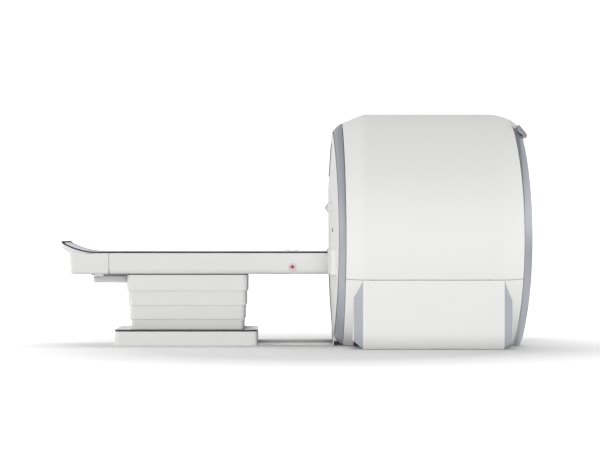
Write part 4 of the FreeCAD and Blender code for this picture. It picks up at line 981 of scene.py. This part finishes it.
def build_side_covers():
    end = HEAD - 0.0005
    for side, name in SIDES:
        piece = extrude("table_cover_" + name, cover_section(side), SEAM_X + 0.001, end, 0)
        soften(piece, 0.0015, segments=2, angle=40)
        dress(piece, "table", "table_white", "side_cover_" + name)


def rim_curve(x):
    """Height of the table's rim: level, then an arc that curls up to the foot's tip."""
    bend, bow = SEAM_X - 0.108, 0.625
    reach = np.clip(bend - x, 0, bow * 0.99)
    return TABLE_TOP + bow - np.sqrt(bow ** 2 - reach ** 2)


def foot_path(tip, half, corner, count=220):
    """Plan of the foot end, from the left seam round the tip to the right seam, evenly spaced."""
    seam = SEAM_X - 0.003
    straight = seam - tip - corner
    left = np.concatenate([
        np.stack([np.linspace(seam, tip + corner, 60), np.full(60, half)], 1),
        arc((tip + corner, half - corner), corner, 90, 180, 50)[1:],
        np.stack([np.full(60, tip), np.linspace(half - corner, corner - half, 60)], 1)[1:30]])
    path = np.concatenate([left, left[::-1] * [1, -1]])
    step = np.concatenate([[0], np.cumsum(np.linalg.norm(np.diff(path, axis=0), axis=1))])
    marks = np.concatenate([np.linspace(0, straight, 50)[:-1],
                            np.linspace(straight, step[-1] - straight, count - 100),
                            np.linspace(step[-1] - straight, step[-1], 50)[1:]])
    return np.stack([np.interp(marks, step, path[:, k]) for k in (0, 1)], 1)


def foot_rows(rows):
    """A surface through rows round the foot end; a row is (tip, half width, height or its curve, corner)."""
    out = []
    for tip, half, level, corner in rows:
        path = foot_path(tip, half, min(corner, half * 0.9))
        height = level(path[:, 0]) if callable(level) else np.full(len(path), level)
        out.append(np.column_stack([path, height]))
    return np.stack(out)


def build_foot():
    """The scoop at the foot end: outer shell with an overhanging lip, inner trough, and its dark rim."""
    half, inner, base = TABLE_HALF, TROUGH, TIP + 0.077
    roll, wide, tight = 0.034, 0.045, 0.028

    def lifted(share, drop):
        return lambda x: TABLE_TOP - drop + (rim_curve(x) - TABLE_TOP) * share

    def lip_edge(x):
        """The lip's lower edge, which drops away from the rim towards the tip."""
        return rim_curve(x) - 0.034 * np.clip((SEAM_X - 0.108 - x) / 0.33, 0, 1) - 0.0137
    lip = [
        (TIP + 0.001, half, lambda x: rim_curve(x) - 0.0132, wide),
        (TIP + 0.001, half, lip_edge, wide),
        (TIP + 0.022, half, lifted(0.50, 0.0142), wide),
        (TIP + 0.050, half, lifted(0.30, 0.0150), wide),
        (base - 0.009, half, lifted(0.12, 0.0165), 0.036),
        (base, half, TABLE_TOP - 0.028, tight),
        (base + 0.001, half, TABLE_TOP - 0.060, tight),
        (base + 0.004, half, COVER_LOW + roll + 0.004, tight),
    ]
    for angle in np.linspace(0.10, math.pi / 2, 9):
        shift = roll * (1 - math.cos(angle))
        lip.append((base + 0.004 + shift, half - shift, COVER_LOW + roll - roll * math.sin(angle),
                    max(tight - shift, 0.006)))
    lip.append((base + 0.10, half - 0.085, COVER_LOW, 0.010))
    piece = sheets("foot_shell", [(foot_rows(lip), False, False, False)])
    thicken(piece, 0.004, edge=0.0012, even=False)
    dress(piece, "table", "table_white", "foot_cap")
    floor = BOARD_LOW - 0.004
    scoop = [
        (TIP + 0.016, half - 0.020, lambda x: rim_curve(x) - 0.0035, 0.040),
        (TIP + 0.020, inner + 0.006, lambda x: rim_curve(x) - 0.0035, 0.045),
        (TIP + 0.024, inner, lambda x: rim_curve(x) - 0.009, 0.050),
        (TIP + 0.060, inner - 0.002, lambda x: rim_curve(x) * 0.72 + floor * 0.28 - 0.006, 0.060),
        (TIP + 0.110, inner - 0.004, lambda x: rim_curve(x) * 0.40 + floor * 0.60 - 0.003, 0.070),
        (TIP + 0.170, inner - 0.008, lambda x: rim_curve(x) * 0.14 + floor * 0.86, 0.075),
        (TIP + 0.235, inner - 0.020, floor, 0.075),
        (TIP + 0.320, inner - 0.060, floor - 0.001, 0.075),
        (TIP + 0.345, inner - 0.270, floor - 0.001, 0.075),
    ]
    piece = sheets("foot_scoop", [(foot_rows(scoop), True, False, False)])
    thicken(piece, 0.004, edge=0.0012, even=False)
    dress(piece, "table", "table_white", named="board_pale")
    rim_piece("foot_bumper", foot_path(TIP + 0.0005, half, wide), "foot_rim")


def rim_piece(name, path, *nodes):
    """The soft dark bumper: a rounded strip carried along a plan path at the rim's height."""
    tangent = np.gradient(path, axis=0)
    tangent /= np.linalg.norm(tangent, axis=1)[:, None]
    inward = np.stack([tangent[:, 1], -tangent[:, 0]], 1)
    if inward[len(path) // 2] @ path[len(path) // 2] > 0:
        inward = -inward
    section = round_outline((0.0, -0.0135), (0.0205, 0.0), 0.0045, 6)
    height = rim_curve(path[:, 0])
    points = np.zeros((len(path), len(section), 3))
    points[..., 0] = path[:, :1] + inward[:, :1] * section[:, 0]
    points[..., 1] = path[:, 1:] + inward[:, 1:] * section[:, 0]
    points[..., 2] = height[:, None] + section[:, 1]
    dress(tube(name, points), "table", "trim_dark", *nodes)


def build_rims():
    for side, name in SIDES:
        x = np.linspace(SEAM_X + 0.001, HEAD - 0.0005, 60)
        path = np.stack([x, np.full(60, side * TABLE_HALF)], 1)
        rim_piece("side_bumper_" + name, path, *once(side, "rim_trims"))


def build_nose():
    """The end panel that closes the table towards the scanner."""
    half, inner = TABLE_HALF, TROUGH
    top = TABLE_TOP - RIM_DEEP
    roll = COVER_ROLL
    notch = BOARD_LOW - 0.007
    outline = np.concatenate([
        arc((half - roll, COVER_LOW + roll), roll, -90, 0, 12),
        [(half, top), (inner, top), (inner, notch), (-inner, notch), (-inner, top), (-half, top)],
        arc((roll - half, COVER_LOW + roll), roll, 180, 270, 12)])
    piece = extrude("table_nose", outline, HEAD - 0.006, HEAD, 0)
    soften(piece, 0.0018, segments=3)
    dress(piece, "table", "table_white", "nose_panel")


def build_board():
    """The patient board: a shallow dished plank with round corners and edges."""
    low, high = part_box("patient_board")
    half, rise, thick = high.y, high.z - low.z, 0.024
    columns, rows = 61, 121
    v = np.linspace(-1, 1, columns)[None, :]
    x = np.linspace(low.x, high.x, rows)[:, None]
    corner = 0.055
    into = np.maximum(np.maximum(corner - (x - low.x), corner - (high.x - x)), 0)
    width = half - corner + np.sqrt(np.maximum(corner ** 2 - into ** 2, 0))
    y = width * v
    dish = (y / half) ** 2
    z = low.z + thick + (rise - thick) * dish
    top = np.stack([x + 0 * y, y, z - 0.0005 - 0.004 * np.clip(np.abs(v) * 20 - 19, 0, 1)], -1)
    under = low.z + 0.0002 + (rise - 0.014) * np.clip((np.abs(y) - (half - 0.035)) / 0.035, 0, 1)
    bottom = np.stack([x + 0 * y, y * 0.999, under], -1)
    vertices = np.concatenate([top.reshape(-1, 3), bottom.reshape(-1, 3)])
    count = rows * columns
    faces = [*grid_faces(rows, columns).tolist(), *grid_faces(rows, columns, flip=True, start=count).tolist()]
    ring = ([i * columns for i in range(rows)] + [(rows - 1) * columns + j for j in range(1, columns)]
            + [i * columns + columns - 1 for i in range(rows - 2, -1, -1)] + list(range(columns - 2, 0, -1)))
    for a, b in zip(ring, ring[1:] + ring[:1]):
        faces.append((a, b, b + count, a + count))
    piece = weld(make("board_plank", vertices, faces))
    soften(piece, 0.003, segments=3, angle=40)
    dress(piece, "board", "board_white", "patient_board", named="board_pale")


def build_sockets():
    """Coil sockets along the board's edges, seen as low bumps."""
    low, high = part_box("coil_sockets")
    length, width = 0.060, 0.036
    for side, name in SIDES:
        for place, end in ((low.x, "a"), (high.x - length, "b")):
            outline = round_outline((place, high.y - width), (place + length, high.y), 0.012, 6) * [1, side]
            piece = extrude("coil_socket_%s_%s" % (name, end), outline, low.z, high.z, 2)
            soften(piece, 0.006, segments=4)
            dress(piece, "board", "button_grey", *(once(side, "coil_sockets") if end == "a" else []))


# ------------------------------------------------------------------ lift and base
def build_lift_covers():
    """Four thin upright tubes of round-cornered plan, one inside the next, each open at both ends."""
    stages = (("lift_cover_base", "root"), ("lift_cover_low", "cover_low"), ("lift_cover_mid", "cover_mid"),
              ("lift_cover_top", "table"))
    for node, body in stages:
        low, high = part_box(node)
        outer = round_outline((low.x, low.y), (high.x, high.y), 0.045, 14)
        levels = np.linspace(low.z, high.z, 3)
        points = np.stack([np.column_stack([outer, np.full(len(outer), level)]) for level in levels])
        piece = sheets(node.replace("lift_cover", "skirt_stage"), [(points, True, False, True)])
        thicken(piece, 0.0035, 0.0014)
        dress(piece, body, "table_white", node)


def build_base():
    """The plinth and its glossy dark top, both open in the middle for the columns, and the floor duct."""
    first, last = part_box("column_outers")
    column_gap, slope = 0.004, 0.020
    for node, name, corner, edge, slot, named in (
            ("base_plinth", "plinth", 0.040, 0.004, "table_white", "table_white"),
            ("base_rim", "plinth_top", 0.044, 0.0055, "trim_dark", "trim_gloss")):
        low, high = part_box(node)
        piece = slab(name, low, high, corner, 14)
        soften(piece, edge, segments=4)
        carve(settle(piece), [box_tool((first.x - column_gap, first.y - column_gap, -0.1),
                                       (last.x + column_gap, last.y + column_gap, 0.5))])
        dress(piece, "root", slot, node, named=named)
    low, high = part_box("floor_duct")
    outline = round_corners([(low.y, 0.0), (high.y, 0.0), (high.y - slope, high.z),
                             (low.y + slope, high.z)], 0.006)
    piece = extrude("floor_ramp", outline, low.x, high.x, 0)
    dress(piece, "root", "table_white", "floor_duct")


def build_underside():
    low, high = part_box("drive_housing")
    piece = slab("drive_cover", low, high, 0.020, drop=0.012)
    soften(piece, 0.006, segments=4)
    dress(piece, "table", "table_white", "drive_housing")
    low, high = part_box("release_latch")
    piece = slab("latch_paddle", low, high, 0.009)
    soften(piece, 0.003, segments=4)
    dress(piece, "latch", "button_grey", "release_latch")


def build_stops():
    """Emergency stops: a pale collar on the cover and a mushroom button in it."""
    low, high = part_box("estop_rings")
    centre = ((low.x + high.x) / 2, 0, (low.z + high.z) / 2)
    outer, wall = (high.z - low.z) / 2, TABLE_HALF
    for side, name in SIDES:
        a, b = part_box("estop_button_" + name)
        button = (b.z - a.z) / 2
        root, tip = sorted((abs(a.y), abs(b.y)))
        collar = [(wall, button + 0.0015), (wall + 0.0075, button + 0.0015), (wall + 0.0085, button + 0.004),
                  (wall + 0.0098, outer - 0.012), (wall + 0.0085, outer - 0.004), (wall + 0.0045, outer),
                  (wall, outer), (wall, button + 0.0015)]
        piece = lathe("stop_collar_" + name, [(side * p, r) for p, r in collar], centre, 1, 96)
        soften(piece, 0.0012, segments=3)
        dress(piece, "table", "stop_red", *once(side, "estop_rings"), named="collar_pale")
        mushroom = [(root, 0.0), (root, button), (tip - 0.005, button), (tip - 0.0022, button - 0.0016),
                    (tip - 0.0006, button - 0.0055), (tip, 0.0)]
        piece = lathe("stop_button_" + name, [(side * p, r) for p, r in mushroom], centre, 1, 72)
        soften(piece, 0.0008, segments=3)
        dress(piece, "stop_" + name, "stop_red", "estop_button_" + name, named="stop_dark")


# ------------------------------------------------------------------ frame nodes that keep their shape
KEPT = {
    "vessel_steel": ("magnet_vessel",),
    "frame_steel": ("magnet_feet", "front_hoop", "rear_hoop", "table_frame", "board_carriage"),
    "coil_resin": ("gradient_coil", "rf_body_coil"),
    "column_alloy": ("cold_head", "column_outers", "column_middles", "column_inners"),
    "trim_dark": ("sub_frame",),
    "rail_alloy": ("guide_rails", "drive_pulley", "idler_pulley"),
    "belt_rubber": ("drive_belt",),
}


def finish_kept():
    for name, nodes in KEPT.items():
        for node in nodes:
            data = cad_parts[node].data
            data.materials.clear()
            data.materials.append(look(name))


# ------------------------------------------------------------------ stage
def build_floor():
    """A pale floor with a glow that only the camera sees: the glow fades near the machine as painted shade
    round its foot, and rises to white where the floor meets the background.
    """
    size = 60.0
    corners = [(-size, -size, 0), (size, -size, 0), (size, size, 0), (-size, size, 0)]
    floor = make("studio_floor", corners, [(0, 1, 2, 3)])
    paint = bpy.data.materials.new("studio_white")
    paint.use_nodes = True
    tree = paint.node_tree
    shader = tree.nodes["Principled BSDF"].inputs
    for key, value in (("Base Color", (0.86, 0.86, 0.86, 1)), ("Roughness", 0.9), ("Specular IOR Level", 0.0),
                       ("Emission Color", (1.0, 1.0, 1.0, 1))):
        shader[key].default_value = value
    # Painted light: the floor glows for the camera only, faintly near the machine and fully far off, so the
    # shade round the machine's foot is painted
    seen = put(tree, "LightPath").outputs["Is Camera Ray"]
    place = put(tree, "TexCoord").outputs["Object"]
    shifted = put(tree, "VectorMath", [(0, place), (1, (-0.3, 0.8, 0.0))], operation="ADD").outputs[0]
    far = put(tree, "VectorMath", [(0, shifted)], operation="LENGTH").outputs["Value"]
    reach = put(tree, "MapRange", [("Value", far), ("From Min", 1.6), ("From Max", 5.6),
                                   ("To Min", 0.02), ("To Max", 1.05)]).outputs["Result"]
    tree.links.new(combine(tree, "MULTIPLY", seen, reach), shader["Emission Strength"])
    floor.data.materials.append(paint)


def build_sky():
    """White to the camera, soft grey as light, and a brighter room with a dark ceiling in reflections."""
    world = bpy.data.worlds.new("studio")
    bpy.context.scene.world = world
    world.use_nodes = True
    tree = world.node_tree
    path = put(tree, "LightPath").outputs
    way = put(tree, "SeparateXYZ", [(0, put(tree, "TexCoord").outputs["Generated"])]).outputs

    def ramp(source, low, high, stops):
        """A grey level that follows one direction of the sky, through a few stops."""
        span = put(tree, "MapRange", [("Value", way[source]), ("From Min", low), ("From Max", high)])
        made = put(tree, "ValToRGB", [(0, span.outputs["Result"])])
        marks = made.color_ramp.elements
        while len(marks) < len(stops):
            marks.new(0.5)
        for mark, (place, level) in zip(marks, stops):
            mark.position = place
            mark.color = (level, level, level * 1.01, 1)
        return made.outputs["Color"]

    def blend(first, second, operation):
        return put(tree, "VectorMath", [(0, first), (1, second)], operation=operation).outputs[0]
    soft = blend(ramp("Z", 0.0, 1.0, [(0.0, 0.40), (0.75, 0.22)]),
                 ramp("Y", -1.0, 0.6, [(0.0, 1.0), (1.0, 0.80)]), "MULTIPLY")
    room = blend(ramp("Z", -1.0, 1.0, [(0.0, 0.22), (0.44, 0.62), (0.53, 1.0), (0.64, 0.35), (0.95, 0.04)]),
                 ramp("Y", -1.0, 1.0, [(0.0, 0.38), (0.5, 0.65), (1.0, 1.15)]), "MULTIPLY")
    ends = ramp("X", -1.0, 1.0, [(0.0, 0.45), (0.15, 0.40), (0.45, 0.0), (0.65, 0.0), (1.0, 0.30)])
    lit = put(tree, "MixRGB", [("Fac", path["Is Glossy Ray"]), ("Color1", soft),
                               ("Color2", blend(room, ends, "ADD"))]).outputs[0]
    seen = put(tree, "MixRGB", [("Fac", path["Is Camera Ray"]), ("Color1", lit),
                                ("Color2", (1.3, 1.3, 1.3, 1))]).outputs[0]
    tree.links.new(seen, tree.nodes["Background"].inputs["Color"])


# name, place, target, size across, size up, power
SOFTBOXES = (
    ("front_softbox", (0.3, -11.0, 2.6), (0.2, 0.0, 1.0), 9.0, 5.0, 640.0),
    ("left_softbox", (-9.0, -0.8, 2.2), (0.0, 0.0, 1.0), 4.0, 4.0, 330.0),
    ("right_softbox", (10.5, -2.5, 2.4), (1.5, 0.0, 1.0), 4.0, 4.0, 260.0),
    ("top_softbox", (0.3, 2.6, 7.5), (0.2, 0.0, 0.5), 10.0, 4.0, 300.0),
)


def build_stage():
    scene = bpy.context.scene
    build_floor()
    build_sky()
    for name, place, target, across, up, power in SOFTBOXES:
        data = bpy.data.lights.new(name, "AREA")
        data.shape = "RECTANGLE"
        data.size, data.size_y, data.energy = across, up, power
        lamp = bpy.data.objects.new(name, data)
        scene.collection.objects.link(lamp)
        way = np.array(target) - np.array(place)
        lamp.location = place
        lamp.rotation_euler = (math.atan2(math.hypot(way[0], way[1]), -way[2]), 0,
                               math.atan2(way[1], way[0]) - math.pi / 2)
        lamp.visible_glossy = False
    data = bpy.data.cameras.new("camera")
    data.sensor_width, data.lens, data.clip_end = 36.0, 132.8, 200.0
    camera = bpy.data.objects.new("camera", data)
    camera.location = (0.061, -20.8, 1.1125)
    camera.rotation_euler = (math.pi / 2, 0, 0)
    scene.collection.objects.link(camera)
    scene.camera = camera
    scene.view_settings.view_transform = "Standard"
    scene.view_settings.look = "None"


# ------------------------------------------------------------------ operators
class BuildStep(bpy.types.Operator):
    """Builds one group of pieces"""
    bl_options = {"REGISTER", "UNDO"}
    makers = ()

    def execute(self, context):
        for maker in self.makers:
            maker()
        return {"FINISHED"}


class SCANNER_OT_stage(BuildStep):
    """Floor, lights and camera"""
    bl_idname = "scanner.stage"
    bl_label = "Stage"
    makers = (build_stage,)


class SCANNER_OT_covers(BuildStep):
    """The drum's covers, bands and corner facets"""
    bl_idname = "scanner.covers"
    bl_label = "Covers"
    makers = (build_upper_shells, build_skirts, build_corner_trims, build_bands, build_rear_rail)


class SCANNER_OT_faces(BuildStep):
    """The front fascia, the back and the bore"""
    bl_idname = "scanner.faces"
    bl_label = "Faces and bore"
    makers = (build_fascia, build_rear_cover, build_bore)


class SCANNER_OT_front(BuildStep):
    """Docking lobes, display, controls and sockets on the front"""
    bl_idname = "scanner.front"
    bl_label = "Front details"
    makers = (build_yokes, build_channel, build_display, build_controls, build_ports)


class SCANNER_OT_table(BuildStep):
    """The patient table's covers, foot scoop, rims and board"""
    bl_idname = "scanner.table"
    bl_label = "Patient table"
    makers = (build_side_covers, build_foot, build_rims, build_nose, build_board, build_sockets, build_stops)


class SCANNER_OT_lift(BuildStep):
    """The telescoping lift covers, plinth and floor duct"""
    bl_idname = "scanner.lift"
    bl_label = "Lift and base"
    makers = (build_lift_covers, build_base, build_underside)


class SCANNER_OT_frame(BuildStep):
    """Finishes on the frame parts that keep their shape"""
    bl_idname = "scanner.frame_parts"
    bl_label = "Frame parts"
    makers = (finish_kept,)


STEPS = (SCANNER_OT_stage, SCANNER_OT_covers, SCANNER_OT_faces, SCANNER_OT_front, SCANNER_OT_table,
         SCANNER_OT_lift, SCANNER_OT_frame)


class SCANNER_PT_panel(bpy.types.Panel):
    """Lists the building steps and their settings"""
    bl_idname = "SCANNER_PT_panel"
    bl_label = "MRI scanner"
    bl_space_type = "VIEW_3D"
    bl_region_type = "UI"
    bl_category = "Scanner"

    def draw(self, context):
        for step in STEPS:
            self.layout.operator(step.bl_idname)
        for group in (context.scene.scanner_sizes, context.scene.scanner_colours):
            for key in group.__annotations__:
                self.layout.prop(group, key)


CLASSES = (ScannerSizes, ScannerColours) + STEPS + (SCANNER_PT_panel,)


def register():
    for item in CLASSES:
        bpy.utils.register_class(item)
    bpy.types.Scene.scanner_sizes = bpy.props.PointerProperty(type=ScannerSizes)
    bpy.types.Scene.scanner_colours = bpy.props.PointerProperty(type=ScannerColours)


def unregister():
    del bpy.types.Scene.scanner_colours
    del bpy.types.Scene.scanner_sizes
    for item in reversed(CLASSES):
        bpy.utils.unregister_class(item)


def main():
    register()
    for step in STEPS:
        group, name = step.bl_idname.split(".")
        getattr(getattr(bpy.ops, group), name)()


if __name__ == "__main__":
    main()
